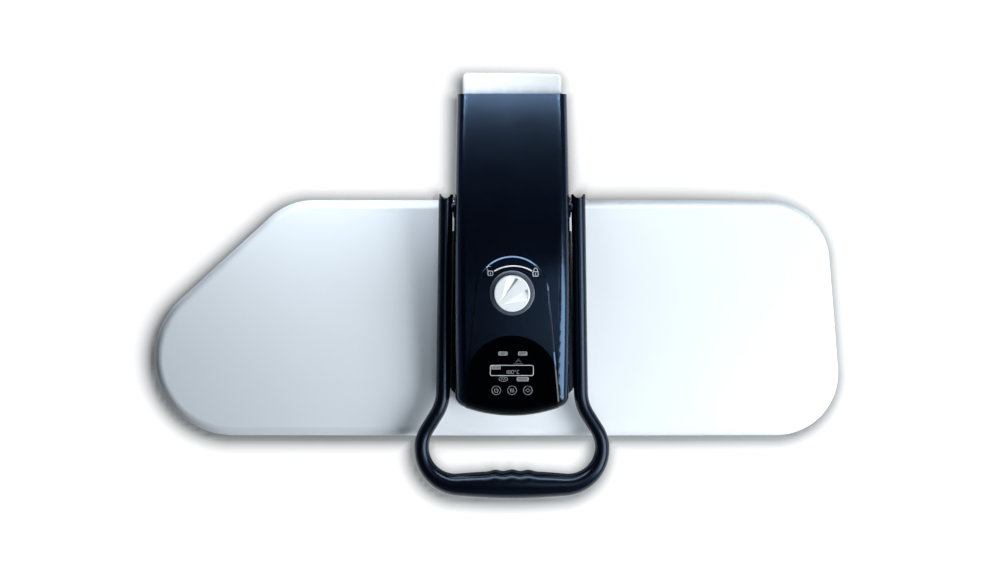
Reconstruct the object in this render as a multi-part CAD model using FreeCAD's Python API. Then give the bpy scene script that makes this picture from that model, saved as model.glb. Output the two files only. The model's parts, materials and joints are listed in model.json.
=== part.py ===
import FreeCAD, Part
import math
import os

from FreeCAD import Matrix, Placement, Rotation, Vector

# Steam ironing press, closed and at rest, in millimetres.
# X runs along the heating plate, Y towards the rear hinge, Z up from the table.
# Shapes are drawn with Y = 0 at the middle of the plate. Those of the arm, handle, knob,
# buttons, tank and base are drawn about the arm's middle line and moved to ARM_X at the end.

# Heating plate, seen from above
PLATE_LENGTH = 640.0
PLATE_DEPTH = 220.0
NOSE_RADIUS = 73.0
SHOULDER_RADIUS = 58.0
END_RADIUS = 58.0
DIAGONAL_ANGLE = 42.4
END_SLANT = 4.5

# Heating plate, in section
PLATE_HEIGHT = 34.0
SOLE_THICKNESS = 8.0
COVER_WALL = 2.5
COVER_EDGE_RADIUS = 9.0
CROWN_ALONG = 9.0
CROWN_ACROSS = 4.0
GASKET_HEIGHT = 2.4
GASKET_LIFT = 1.0
STEAM_HOLE_RADIUS = 2.0
STEAM_HOLE_PITCH = 34.0
STEAM_ROW_PITCH = 44.0
STEAM_ROWS = 3
STEAM_MARGIN = 34.0
COVER_BOSS_RADIUS = 5.0
COVER_BOSS_INSET = 13.0
PLATE_LIFT = 3.0

# Works inside the plate
CHAMBER_LENGTH = 300.0
CHAMBER_DEPTH = 104.0
CHAMBER_HEIGHT = 9.0
CHAMBER_WALL = 2.0
CHAMBER_CORNER = 14.0
HEATER_RADIUS = 4.0
HEATER_BEND = 66.0
HEATER_RUN = 380.0
SHIELD_THICKNESS = 0.8
SHIELD_INSET = 26.0
THERMOSTAT_RADIUS = 12.0
THERMOSTAT_HEIGHT = 8.0
THERMOSTAT_EDGE = 1.0
THERMOSTAT_INSET = 120.0

# Ironing board
BOARD_INSET = 4.0
TRAY_DEPTH = 14.0
TRAY_SHEET = 1.5
VENT_RADIUS = 5.0
VENT_PITCH = 60.0
PAD_THICKNESS = 8.0
PAD_EDGE_RADIUS = 3.0
CLOTH_THICKNESS = 1.4
CLOTH_EDGE_RADIUS = 4.5
CLOTH_HEM = 18.0

# Base
FOOT_HEIGHT = 6.0
FOOT_RADIUS = 11.0
FOOT_TAPER = 1.5
FOOT_INSET = 20.0
PAN_HEIGHT = 20.0
PAN_WALL = 3.0
BASE_LENGTH = 400.0
BASE_CORNER = 30.0
BASE_FRONT_INSET = 16.0
BASE_REAR_INSET = 24.0
PEDESTAL_HEIGHT = 44.0
PEDESTAL_TAPER = 26.0
PEDESTAL_EDGE = 8.0
SPINE_HALF_WIDTH = 44.0
SPINE_HEIGHT = 34.0
SPINE_TAPER = 6.0
SPINE_CORNER = 16.0
BOARD_GAP = 8.0
POST_RADIUS = 9.0
POST_SPREAD_X = 116.0
POST_SPREAD_Y = 42.0
GLAND_RADIUS = 7.0
GLAND_BORE = 3.8
GLAND_FLANGE = 10.0
GLAND_FLANGE_THICKNESS = 2.5
GLAND_REACH = 8.0
GLAND_X = 24.0

# Hinge tower
HINGE_BEHIND = 58.0
HINGE_DROP = 12.0
HINGE_PIN_RADIUS = 5.0
TOWER_RADIUS = 18.0
TOWER_HALF_WIDTH = 32.0
TOWER_SPREAD = 7.0
BRACKET_SHEET = 3.0
BRACKET_EAR_RADIUS = 13.0
SPRING_WIRE_RADIUS = 1.6
SPRING_COIL_RADIUS = 9.0
SPRING_PITCH = 4.0
SPRING_TURNS = 4

# Arm housing
ARM_X = 14.3
ARM_WIDTH = 104.0
ARM_HEIGHT = 52.0
ARM_FRONT_SETBACK = 21.0
ARM_OVERHANG = 95.0
ARM_CLEARANCE = 1.2
ARM_WALL = 3.5
ARM_FLOOR = 2.5
ARM_NOSE_ARC = 127.0
ARM_NOSE_CORNER = 11.0
ARM_TAPER_START = 50.0
ARM_TAPER = 2.0
ARM_CREST_Y = 58.0
ARM_FRONT_CURVE = 420.0
ARM_REAR_CURVE = 900.0
ARM_EDGE_RADIUS = 10.0
ARM_KEEL_RADIUS = 4.0
DECK_CLEARANCE = 3.3
CHEEK_RADIUS = 20.0
CHEEK_SETBACK = 1.6
CHEEK_REACH = 8.0
RAIL_GAP = 1.0
RAIL_THICKNESS = 3.0
RAIL_DROP = 3.0
RAIL_FRONT = -66.0

# Steel frame in the arm
FRAME_SHEET = 3.0
FRAME_WEB = 2.5
FRAME_LIP = 14.0
FRAME_FRONT = 58.0
FRAME_EAR_RADIUS = 16.0
FRAME_LUG_RADIUS = 11.0
BUSH_WALL = 2.0
BUSH_FLANGE = 2.0
BUSH_FLANGE_THICKNESS = 1.5

# Fascia, lens and controls
FASCIA_PROUD = 0.6
FASCIA_DEPTH = 1.4
FASCIA_FLOAT = 0.2
FASCIA_GAP = 0.4
FASCIA_SPREAD_ANGLE = 5.5
FASCIA_BEVEL = 1.3
FASCIA_BEVEL_DROP = 0.5
FASCIA_SKIRT = 3.0
ARCH_RADIUS = 33.5
LENS_RADIUS = 41.5
LENS_TOP_Y = -15.5
KNOB_Y = 23.5
KNOB_RADIUS = 16.2
KNOB_HEIGHT = 9.5
KNOB_POINTER_ANGLE = 42.0
KNOB_BAR = 7.6
KNOB_BAR_TAPER = 9.5
KNOB_RIM = 1.8
KNOB_POCKET_DEPTH = 4.5
KNOB_FLOOR_RISE = 11.0
KNOB_FLOOR_LEAN = 16.0
KNOB_EDGE = 0.8
BEZEL_RADIUS = 20.3
BEZEL_CREST = 0.7
BEZEL_LAND = 0.4
BEZEL_PROUD = 1.0
SPINDLE_RADIUS = 3.5
SPINDLE_IN_KNOB = 4.0
LOCK_CAM_RADIUS = 7.0
LOCK_CAM_REACH = 10.0
LOCK_CAM_THICKNESS = 4.0
PANEL_Y = -55.0
BUTTON_Y = -65.7
BUTTON_RADIUS = 4.6
BUTTON_PITCH = 14.4
BUTTON_THICKNESS = 1.2
BUTTON_PROUD = 0.3
BUTTON_TRAVEL = 0.8
BUTTON_STEM_RADIUS = 1.6
LCD_Y = -47.4
LCD_WIDTH = 41.0
LCD_DEPTH = 11.5
LCD_BORDER = 2.5
LED_Y = -32.5
LED_PITCH = 18.3
LED_RADIUS = 1.5
BOARD_WIDTH = 66.0
BOARD_FRONT = 20.0
BOARD_REAR = 33.0
BOARD_THICKNESS = 1.6
BOARD_DROP = 9.5
BOARD_BOSS_RADIUS = 2.5
SWITCH_SIDE = 5.0
SWITCH_HEIGHT = 1.6

# Water tank and pump
TANK_HALF_WIDTH = 45.0
TANK_OVERHANG = 19.5
TANK_WALL = 2.0
TANK_CLEARANCE = 1.2
TANK_CORNER = 5.0
TANK_EDGE = 3.0
TANK_BEHIND_PIVOT = 18.0
FLUTE_COUNT = 6
FLUTE_PITCH = 14.0
FLUTE_RADIUS = 7.5
FLUTE_DEPTH = 2.2
FLUTE_TILT = 9.0
TANK_CAP_RADIUS = 11.0
TANK_CAP_DEPTH = 3.0
TANK_CAP_BEHIND = 40.0
VALVE_RADIUS = 4.2
VALVE_REACH = 3.6
VALVE_INSIDE = 5.0
DOCK_HALF_WIDTH = 9.0
DOCK_HEIGHT = 11.0
DOCK_DEPTH = 5.5
PUMP_RADIUS = 9.5
PUMP_LENGTH = 50.0
PUMP_Y = 47.0
PUMP_DROP = 3.9
PUMP_SADDLE = 24.0
PUMP_SADDLE_DEPTH = 15.0
HOSE_RADIUS = 2.5
HOSE_BORE = 1.7
HOSE_BEND = 7.0
HOSE_OVER_SHAFT = 1.6
NIPPLE_RADIUS = 1.6
NIPPLE_LENGTH = 4.0

# Handle and pressure works
PIVOT_AHEAD = 8.0
PIVOT_RISE = 32.0
SHAFT_RADIUS = 5.0
COLLAR = 1.5
COLLAR_RADIUS = 9.5
LEG_WIDTH = 13.0
LEG_HEIGHT = 16.0
LEG_TAPER_ANGLE = 1.0
LEG_TIP = 11.5
TIP_NOTCH_RADIUS = 4.6
TIP_NOTCH_DEPTH = 3.4
GRIP_AHEAD = 44.4
GRIP_ABOVE_PLATE = 6.0
GRIP_WIDTH = 26.0
GRIP_HEIGHT = 24.0
GRIP_HALF_RUN = 49.5
GRIP_SWELL_LENGTH = 118.0
GRIP_BUMP_PITCH = 15.6
GRIP_BUMP_HEIGHT = 1.4
LOOP_CORNER_RADIUS = 34.0
FLARE_ANGLE = 32.0
FLARE_RADIUS = 40.0
CORE_RADIUS = 3.6
SHAFT_IN_LEG = 4.0
HANDLE_SWING = 28.0
CAM_SUPPORT = 10.0
CAM_HUB_RADIUS = 6.4
CAM_THICKNESS = 8.0
CAM_SPREAD = 18.0
CAM_OVERRUN = 8.0
CAM_STEPS = 12
YOKE_HALF_WIDTH = 29.0
YOKE_THICKNESS = 3.0
YOKE_END = 10.0
STUD_RADIUS = 4.0
STUD_HEAD_RADIUS = 8.0
STUD_HEAD_THICKNESS = 3.0
STUD_SPREAD_X = 21.0
STUD_SPREAD_Y = 34.0
RETURN_WIRE_RADIUS = 0.7
RETURN_COIL_RADIUS = 5.6
RETURN_TURNS = 3

# Fits
RUN_FIT = 0.05
RUN_GAP = 0.3
SEAT_GAP = 0.1
SIDE_GAP = 1.0
SOFT_CLEARANCE = 0.3
HOLE_CLEARANCE = 1.5
HOLE_SEAM_TURN = 45.0
TOUCH = 1e-6
NEAR = 0.01
OVAL_STEPS = 10

# Heights worked out from the stack of pieces
Z_PAN = FOOT_HEIGHT
Z_RIM = Z_PAN + PAN_HEIGHT
Z_PEDESTAL = Z_RIM + PEDESTAL_HEIGHT
Z_TRAY = Z_PEDESTAL + BOARD_GAP
Z_BOARD = Z_TRAY + TRAY_DEPTH
Z_PAD = Z_BOARD + PAD_THICKNESS
Z_CLOTH = Z_PAD + SOFT_CLEARANCE + CLOTH_THICKNESS
Z_SOLE = Z_CLOTH + SOFT_CLEARANCE
Z_SOLE_TOP = Z_SOLE + SOLE_THICKNESS
Z_COVER_RIM = Z_SOLE + GASKET_LIFT + GASKET_HEIGHT
Z_CHAMBER = Z_SOLE_TOP + CHAMBER_HEIGHT
Z_CROWN = Z_SOLE + PLATE_HEIGHT
Z_ARM = Z_CROWN + PLATE_LIFT + ARM_CLEARANCE
Z_CREST = Z_ARM + ARM_HEIGHT
Z_FLOOR = Z_ARM + ARM_FLOOR
HINGE_Z = Z_ARM - HINGE_DROP
Z_DECK = HINGE_Z + TOWER_RADIUS + DECK_CLEARANCE + ARM_FLOOR
PIVOT_Z = Z_ARM + PIVOT_RISE
Z_YOKE_TOP = PIVOT_Z - CAM_SUPPORT - RUN_GAP
Z_STUD_TOP = Z_YOKE_TOP - YOKE_THICKNESS
Z_WEB = Z_FLOOR + FRAME_WEB
GRIP_Z = Z_CROWN + GRIP_ABOVE_PLATE

# Depths worked out from the plate's edges
HALF_LENGTH = PLATE_LENGTH / 2
HALF_DEPTH = PLATE_DEPTH / 2
ARM_FRONT = -HALF_DEPTH + ARM_FRONT_SETBACK
ARM_REAR = HALF_DEPTH + ARM_OVERHANG
HINGE_Y = HALF_DEPTH + HINGE_BEHIND
PIVOT_Y = HALF_DEPTH - PIVOT_AHEAD
GRIP_Y = -HALF_DEPTH - GRIP_AHEAD
TANK_FRONT = PIVOT_Y + TANK_BEHIND_PIVOT
TANK_REAR = ARM_REAR + TANK_OVERHANG
STEP_Y = TANK_FRONT - DOCK_DEPTH - SEAT_GAP
BASE_FRONT = -HALF_DEPTH + BASE_FRONT_INSET
PEDESTAL_REAR = HALF_DEPTH - BASE_REAR_INSET
BASE_REAR = HINGE_Y + TOWER_RADIUS + FOOT_RADIUS + FOOT_INSET

# Widths worked out from the arm's middle line
ARM_HALF = ARM_WIDTH / 2
FRAME_INNER = TOWER_HALF_WIDTH + SIDE_GAP
FRAME_OUTER = FRAME_INNER + FRAME_SHEET
CHEEK_INNER = FRAME_OUTER + SIDE_GAP
CHEEK_OUTER = ARM_HALF - CHEEK_SETBACK
LEG_X = ARM_HALF + COLLAR + 2 * RUN_GAP + LEG_WIDTH / 2
LIFT_PER_RADIAN = PLATE_LIFT / math.radians(HANDLE_SWING)
Y_MIDDLE = (GRIP_Y - GRIP_WIDTH / 2 + TANK_REAR) / 2


def block(x0, x1, y0, y1, z0, z1):
    return Part.makeBox(x1 - x0, y1 - y0, z1 - z0, Vector(x0, y0, z0))


def post(x, y, radius, z0, z1):
    return Part.makeCylinder(radius, z1 - z0, Vector(x, y, z0))


def rod_x(y, z, radius, x0, x1):
    return Part.makeCylinder(radius, x1 - x0, Vector(x0, y, z), Vector(1, 0, 0))


def rod_y(x, z, radius, y0, y1):
    return Part.makeCylinder(radius, y1 - y0, Vector(x, y0, z), Vector(0, 1, 0))


def fuse(*solids):
    return solids[0].fuse(list(solids[1:])).removeSplitter()


def both_sides(solid):
    return [solid, solid.mirror(Vector(), Vector(1, 0, 0))]


def polar(x, y, radius, degrees):
    angle = math.radians(degrees)
    return Vector(x + radius * math.cos(angle), y + radius * math.sin(angle), 0)


def arc_loop(corners):
    """Closed flat wire of counter-clockwise arcs (x, y, radius, from, to) and the runs between."""
    edges = []
    for number, (x, y, radius, start, end) in enumerate(corners):
        points = [polar(x, y, radius, angle) for angle in (start, (start + end) / 2, end)]
        edges.append(Part.Arc(*points).toShape())
        following = corners[(number + 1) % len(corners)]
        join = polar(following[0], following[1], following[2], following[3])
        if points[2].distanceToPoint(join) > TOUCH:
            edges.append(Part.LineSegment(points[2], join).toShape())
    return Part.Wire(edges)


def rounded_rectangle(x0, x1, y0, y1, radius):
    return arc_loop([
        (x1 - radius, y0 + radius, radius, -90, 0),
        (x1 - radius, y1 - radius, radius, 0, 90),
        (x0 + radius, y1 - radius, radius, 90, 180),
        (x0 + radius, y0 + radius, radius, 180, 270),
    ])


def prism(wire, z0, z1):
    face = Part.Face(wire)
    face.translate(Vector(0, 0, z0))
    return face.extrude(Vector(0, 0, z1 - z0))


def tapered_prism(low_wire, high_wire, z0, z1):
    low_wire.translate(Vector(0, 0, z0))
    high_wire.translate(Vector(0, 0, z1))
    return Part.makeLoft([low_wire, high_wire], True, True)


def side_slab(points, x0, x1):
    """Plate between x0 and x1 whose outline is a polygon of (y, z) points."""
    corners = [Vector(x0, y, z) for y, z in points]
    face = Part.Face(Part.makePolygon(corners + corners[:1]))
    return face.extrude(Vector(x1 - x0, 0, 0))


def level_edges(solid, z):
    """Edges that lie in the level plane at height z."""
    chosen = []
    for edge in solid.Edges:
        box = edge.BoundBox
        if abs(box.ZMin - z) < NEAR and abs(box.ZMax - z) < NEAR:
            chosen.append(edge)
    return chosen


def coil(radius, wire_radius, pitch, turns):
    """Spring about the Z axis: one tube on quarter-turn arcs that climb steadily."""
    quarters = 4 * turns
    edges = []
    for quarter in range(quarters):
        points = []
        for part in (0, 0.5, 1):
            angle = math.pi / 2 * (quarter + part)
            climb = pitch * (quarter + part) / 4
            points.append(Vector(radius * math.cos(angle), radius * math.sin(angle), climb))
        edges.append(Part.Arc(*points).toShape())
    path = Part.Wire(edges)
    start = edges[0].Curve.tangent(edges[0].FirstParameter)[0]
    section = Part.Wire([Part.makeCircle(wire_radius, Vector(radius, 0, 0), start)])
    return path.makePipeShell([section], True, False)


# Plate outline and its neighbours

def plate_corners():
    """Centres of the outline's four arcs: nose, shoulder, rear end and front end."""
    slope = math.radians(DIAGONAL_ANGLE)
    nose = (-HALF_LENGTH + NOSE_RADIUS, -HALF_DEPTH + NOSE_RADIUS)
    shoulder_y = HALF_DEPTH - SHOULDER_RADIUS
    rise = math.cos(slope) * (shoulder_y - nose[1]) - (NOSE_RADIUS - SHOULDER_RADIUS)
    shoulder = (nose[0] + rise / math.sin(slope), shoulder_y)
    front_end = (HALF_LENGTH - END_RADIUS, -HALF_DEPTH + END_RADIUS)
    drift = (PLATE_DEPTH - 2 * END_RADIUS) * math.tan(math.radians(END_SLANT))
    rear_end = (front_end[0] - drift, HALF_DEPTH - END_RADIUS)
    return nose, shoulder, rear_end, front_end


def plate_outline(inset=0.0):
    nose, shoulder, rear_end, front_end = plate_corners()
    diagonal = 90 + DIAGONAL_ANGLE
    return arc_loop([
        (*front_end, END_RADIUS - inset, -90, END_SLANT),
        (*rear_end, END_RADIUS - inset, END_SLANT, 90),
        (*shoulder, SHOULDER_RADIUS - inset, 90, diagonal),
        (*nose, NOSE_RADIUS - inset, diagonal, 270),
    ])


def crowned_block(inset):
    """Barrel-topped block whose crown falls towards the plate's ends and its long edges."""
    across = (HALF_DEPTH ** 2 + CROWN_ACROSS ** 2) / (2 * CROWN_ACROSS)
    along = (HALF_LENGTH ** 2 + CROWN_ALONG ** 2) / (2 * CROWN_ALONG)
    top = Z_CROWN - inset
    edge = top - CROWN_ACROSS
    side = [Vector(0, -HALF_DEPTH, edge), Vector(0, 0, top), Vector(0, HALF_DEPTH, edge)]
    low = [Vector(0, HALF_DEPTH, Z_COVER_RIM), Vector(0, -HALF_DEPTH, Z_COVER_RIM)]
    profile = Part.Wire([
        Part.Arc(*side).toShape(),
        Part.LineSegment(side[2], low[0]).toShape(),
        Part.LineSegment(low[0], low[1]).toShape(),
        Part.LineSegment(low[1], side[0]).toShape(),
    ])
    centre = Vector(0, 0, top - along)
    half_turn = math.degrees(math.asin(HALF_LENGTH / along)) + 1.0
    face = Part.Face(profile)
    face.rotate(centre, Vector(0, 1, 0), -half_turn)
    barrel = face.revolve(centre, Vector(0, 1, 0), 2 * half_turn)
    skirt = block(-HALF_LENGTH, HALF_LENGTH, -HALF_DEPTH, HALF_DEPTH, Z_COVER_RIM, edge - CROWN_ALONG)
    return barrel, skirt


def cover_form(inset, edge_radius):
    """Outer or inner form of the plate cover, with its rounded shoulder."""
    barrel, skirt = crowned_block(inset)
    column = prism(plate_outline(inset), Z_COVER_RIM, Z_CROWN + 1)
    form = fuse(column.common(barrel), column.common(skirt))
    shoulder = []
    for edge in form.Edges:
        box = edge.BoundBox
        if box.ZMin > Z_COVER_RIM + 1:
            shoulder.append(edge)
    return form.makeFillet(edge_radius, shoulder)


def cover_boss_places():
    nose, shoulder, rear_end, front_end = plate_corners()
    across = HALF_DEPTH - COVER_BOSS_INSET
    return [
        (nose[0], -across),
        (nose[0] - NOSE_RADIUS + COVER_BOSS_INSET, nose[1]),
        (shoulder[0], across),
        (rear_end[0], across),
        (front_end[0], -across),
        (ARM_X, -across),
    ]


def stud_places():
    places = []
    for x in (ARM_X - STUD_SPREAD_X, ARM_X + STUD_SPREAD_X):
        for y in (-STUD_SPREAD_Y, STUD_SPREAD_Y):
            places.append((x, y))
    return places


def crown_hole(x, y, radius):
    """Clearance hole through the crown, with its seam turned off the plate's long axis."""
    hole = post(x, y, radius + HOLE_CLEARANCE, Z_SOLE_TOP, Z_CROWN + 1)
    hole.rotate(Vector(x, y, 0), Vector(0, 0, 1), HOLE_SEAM_TURN)
    return hole


def plate_cover():
    shell = cover_form(0.0, COVER_EDGE_RADIUS)
    inner = cover_form(COVER_WALL, COVER_EDGE_RADIUS - COVER_WALL)
    shell = shell.cut(inner)
    roof_fill = cover_form(COVER_WALL / 2, COVER_EDGE_RADIUS - COVER_WALL / 2)
    bosses = []
    for x, y in cover_boss_places():
        boss = post(x, y, COVER_BOSS_RADIUS, Z_SOLE_TOP + SEAT_GAP, Z_CROWN)
        bosses.append(boss.common(roof_fill))
    shell = fuse(shell, *bosses)
    for x, y in stud_places():
        shell = shell.cut(crown_hole(x, y, STUD_RADIUS))
    return shell.cut(crown_hole(ARM_X, PUMP_Y, HOSE_RADIUS))


def steam_hole_places():
    """Rows of holes that stop short of the plate's ends."""
    nose, shoulder, rear_end, front_end = plate_corners()
    slope = math.tan(math.radians(DIAGONAL_ANGLE))
    places = []
    for row in range(STEAM_ROWS):
        y = (row - (STEAM_ROWS - 1) / 2) * STEAM_ROW_PITCH
        lead = max(0.0, (y - nose[1]) / slope)
        left = nose[0] - NOSE_RADIUS + STEAM_MARGIN + lead
        right = rear_end[0] + END_RADIUS - STEAM_MARGIN
        count = int((right - left) / STEAM_HOLE_PITCH) + 1
        for number in range(count):
            places.append((left + number * STEAM_HOLE_PITCH, y))
    return places


def sole_plate():
    inset = COVER_WALL + RUN_GAP
    sole = prism(plate_outline(inset), Z_SOLE, Z_SOLE_TOP)
    sole = sole.makeFillet(GASKET_LIFT, level_edges(sole, Z_SOLE))
    holes = [post(x, y, STEAM_HOLE_RADIUS, Z_SOLE - 1, Z_SOLE_TOP + 1) for x, y in steam_hole_places()]
    return sole.cut(holes)


def plate_gasket():
    low = Z_SOLE + GASKET_LIFT
    ring = prism(plate_outline(0.0), low, low + GASKET_HEIGHT - SEAT_GAP)
    return ring.cut(prism(plate_outline(COVER_WALL + RUN_GAP - SEAT_GAP), low - 1, Z_SOLE_TOP))


def steam_chamber():
    """Flat box over the middle steam holes, with the feed nipple and a collar at each stud."""
    def outline(inset):
        half_length = CHAMBER_LENGTH / 2 - inset
        half_depth = CHAMBER_DEPTH / 2 - inset
        corner = CHAMBER_CORNER - inset
        return rounded_rectangle(ARM_X - half_length, ARM_X + half_length, -half_depth, half_depth, corner)
    box = prism(outline(0.0), Z_SOLE_TOP, Z_CHAMBER)
    box = box.cut(prism(outline(CHAMBER_WALL), Z_SOLE_TOP - 1, Z_CHAMBER - CHAMBER_WALL))
    nipple = post(ARM_X, PUMP_Y, NIPPLE_RADIUS, Z_CHAMBER - CHAMBER_WALL / 2, Z_CHAMBER + NIPPLE_LENGTH)
    return fuse(box, nipple)


def heating_element():
    """Tubular heater: a long U whose bend lies at the square end of the plate."""
    z = Z_SOLE_TOP + HEATER_RADIUS + SEAT_GAP
    left = ARM_X - HEATER_RUN / 2
    right = ARM_X + HEATER_RUN / 2
    ends = [Vector(left, HEATER_BEND, z), Vector(right, HEATER_BEND, z)]
    back = [Vector(right, -HEATER_BEND, z), Vector(left, -HEATER_BEND, z)]
    path = Part.Wire([
        Part.LineSegment(ends[0], ends[1]).toShape(),
        Part.Arc(ends[1], Vector(right + HEATER_BEND, 0, z), back[0]).toShape(),
        Part.LineSegment(back[0], back[1]).toShape(),
    ])
    section = Part.Wire([Part.makeCircle(HEATER_RADIUS, ends[0], Vector(1, 0, 0))])
    return path.makePipeShell([section], True, False)


def heat_shield():
    low = Z_CHAMBER + RUN_GAP
    sheet = prism(plate_outline(SHIELD_INSET), low, low + SHIELD_THICKNESS)
    for x, y in stud_places():
        sheet = sheet.cut(post(x, y, STUD_RADIUS + HOLE_CLEARANCE, low - 1, low + SHIELD_THICKNESS + 1))
    feed = post(ARM_X, PUMP_Y, HOSE_RADIUS + HOLE_CLEARANCE, low - 1, low + SHIELD_THICKNESS + 1)
    return sheet.cut(feed)


def thermostat():
    x = -HALF_LENGTH + THERMOSTAT_INSET
    body = post(x, 0, THERMOSTAT_RADIUS, Z_SOLE_TOP, Z_SOLE_TOP + THERMOSTAT_HEIGHT)
    return body.makeFillet(THERMOSTAT_EDGE, level_edges(body, Z_SOLE_TOP + THERMOSTAT_HEIGHT))


def guide_studs():
    studs = []
    for x, y in stud_places():
        shank = post(x, y, STUD_RADIUS, Z_CHAMBER, Z_STUD_TOP)
        head = post(x, y, STUD_HEAD_RADIUS, Z_STUD_TOP - STUD_HEAD_THICKNESS, Z_STUD_TOP)
        studs.append(fuse(shank, head))
    return Part.makeCompound(studs)


def bush_top():
    return Z_WEB + BUSH_FLANGE_THICKNESS


def return_springs():
    low = bush_top() + SEAT_GAP + RETURN_WIRE_RADIUS
    high = Z_STUD_TOP - STUD_HEAD_THICKNESS - SEAT_GAP - RETURN_WIRE_RADIUS
    springs = []
    for x, y in stud_places():
        spring = coil(RETURN_COIL_RADIUS, RETURN_WIRE_RADIUS, (high - low) / RETURN_TURNS, RETURN_TURNS)
        spring.translate(Vector(x, y, low))
        springs.append(spring)
    return Part.makeCompound(springs)


def pressure_yoke():
    """Steel plate on the stud heads, pressed down by the cams at its rear end."""
    front = -STUD_SPREAD_Y - STUD_HEAD_RADIUS
    rear = PIVOT_Y + YOKE_END / 2
    wire = rounded_rectangle(ARM_X - YOKE_HALF_WIDTH, ARM_X + YOKE_HALF_WIDTH, front, rear, YOKE_END)
    plate = prism(wire, Z_STUD_TOP, Z_YOKE_TOP)
    feed = post(ARM_X, PUMP_Y, HOSE_RADIUS + HOLE_CLEARANCE, Z_STUD_TOP - 1, Z_YOKE_TOP + 1)
    window = rounded_rectangle(
        ARM_X - YOKE_HALF_WIDTH + 2 * YOKE_END,
        ARM_X + YOKE_HALF_WIDTH - 2 * YOKE_END,
        -STUD_SPREAD_Y,
        KNOB_Y,
        STUD_RADIUS,
    )
    return plate.cut(feed).cut(prism(window, Z_STUD_TOP - 1, Z_YOKE_TOP + 1))


def pump_axis_z():
    return roof_height(PUMP_Y, ARM_WALL) - PUMP_DROP - PUMP_RADIUS


def feed_hose():
    """Flexible hose from the pump down to the steam chamber."""
    low = Z_CHAMBER + SEAT_GAP
    high = pump_axis_z() - PUMP_RADIUS - SEAT_GAP
    tube = post(ARM_X, PUMP_Y, HOSE_RADIUS, low, high)
    return tube.cut(post(ARM_X, PUMP_Y, HOSE_BORE, low - 1, high + 1))


# Ironing board

def board_tray():
    tray = prism(plate_outline(BOARD_INSET), Z_TRAY, Z_BOARD)
    tray = tray.cut(prism(plate_outline(BOARD_INSET + TRAY_SHEET), Z_TRAY - 1, Z_BOARD - TRAY_SHEET))
    vents = []
    half_count = int((HALF_LENGTH - NOSE_RADIUS) / VENT_PITCH)
    for number in range(-half_count, half_count + 1):
        for y in (-VENT_PITCH, 0, VENT_PITCH):
            vents.append(post(number * VENT_PITCH, y, VENT_RADIUS, Z_BOARD - TRAY_SHEET - 1, Z_BOARD + 1))
    posts = [post(x, y, POST_RADIUS + VENT_RADIUS, Z_TRAY, Z_BOARD + 2) for x, y in post_places()]
    clear = [vent for vent in vents if not any(vent.common(place).Volume > TOUCH for place in posts)]
    return tray.cut(clear)


def board_pad():
    pad = prism(plate_outline(BOARD_INSET), Z_BOARD, Z_PAD)
    return pad.makeFillet(PAD_EDGE_RADIUS, level_edges(pad, Z_PAD))


def board_cloth():
    """Fitted cover drawn over the pad, with its hem gathered in under the tray."""
    inner_inset = BOARD_INSET - SOFT_CLEARANCE
    outer_inset = inner_inset - CLOTH_THICKNESS
    low = Z_TRAY - SOFT_CLEARANCE - CLOTH_THICKNESS
    outer = prism(plate_outline(outer_inset), low, Z_CLOTH)
    outer = outer.makeFillet(CLOTH_EDGE_RADIUS, level_edges(outer, Z_CLOTH))
    outer = outer.makeFillet(CLOTH_THICKNESS, level_edges(outer, low))
    inner = prism(plate_outline(inner_inset), Z_TRAY - SOFT_CLEARANCE, Z_PAD + SOFT_CLEARANCE)
    rounding = CLOTH_EDGE_RADIUS - CLOTH_THICKNESS
    inner = inner.makeFillet(rounding, level_edges(inner, Z_PAD + SOFT_CLEARANCE))
    mouth = prism(plate_outline(inner_inset + CLOTH_HEM), low - 1, Z_TRAY)
    return outer.cut(inner).cut(mouth)


# Base, drawn about the arm's middle line

def post_places():
    """Places of the board's posts, in the plate's own X."""
    middle = (BASE_FRONT + PEDESTAL_REAR) / 2
    places = []
    for x in (ARM_X - POST_SPREAD_X, ARM_X + POST_SPREAD_X):
        for y in (middle - POST_SPREAD_Y, middle + POST_SPREAD_Y):
            places.append((x, y))
    return places


def board_posts():
    posts = []
    for x, y in post_places():
        posts.append(post(x, y, POST_RADIUS, Z_PEDESTAL, Z_BOARD - TRAY_SHEET))
    return Part.makeCompound(posts)


def pedestal_outline(inset):
    half = BASE_LENGTH / 2 - inset
    corner = max(BASE_CORNER - inset, PAN_WALL)
    return rounded_rectangle(-half, half, BASE_FRONT + inset, PEDESTAL_REAR - inset, corner)


def spine_outline(inset):
    half = SPINE_HALF_WIDTH - inset
    corner = SPINE_CORNER - inset
    return rounded_rectangle(-half, half, BASE_FRONT + BASE_CORNER, BASE_REAR - inset, corner)


def pan_form(inset, z0, z1):
    return fuse(prism(pedestal_outline(inset), z0, z1), prism(spine_outline(inset), z0, z1))


def base_pan():
    pan = pan_form(0.0, Z_PAN, Z_RIM)
    pan = pan.cut(pan_form(PAN_WALL, Z_PAN + PAN_WALL, Z_RIM + 1))
    z = (Z_PAN + Z_RIM) / 2
    hole = rod_y(GLAND_X, z, GLAND_RADIUS + SEAT_GAP, BASE_REAR - 2 * PAN_WALL, BASE_REAR + 1)
    return pan.cut(hole)


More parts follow.
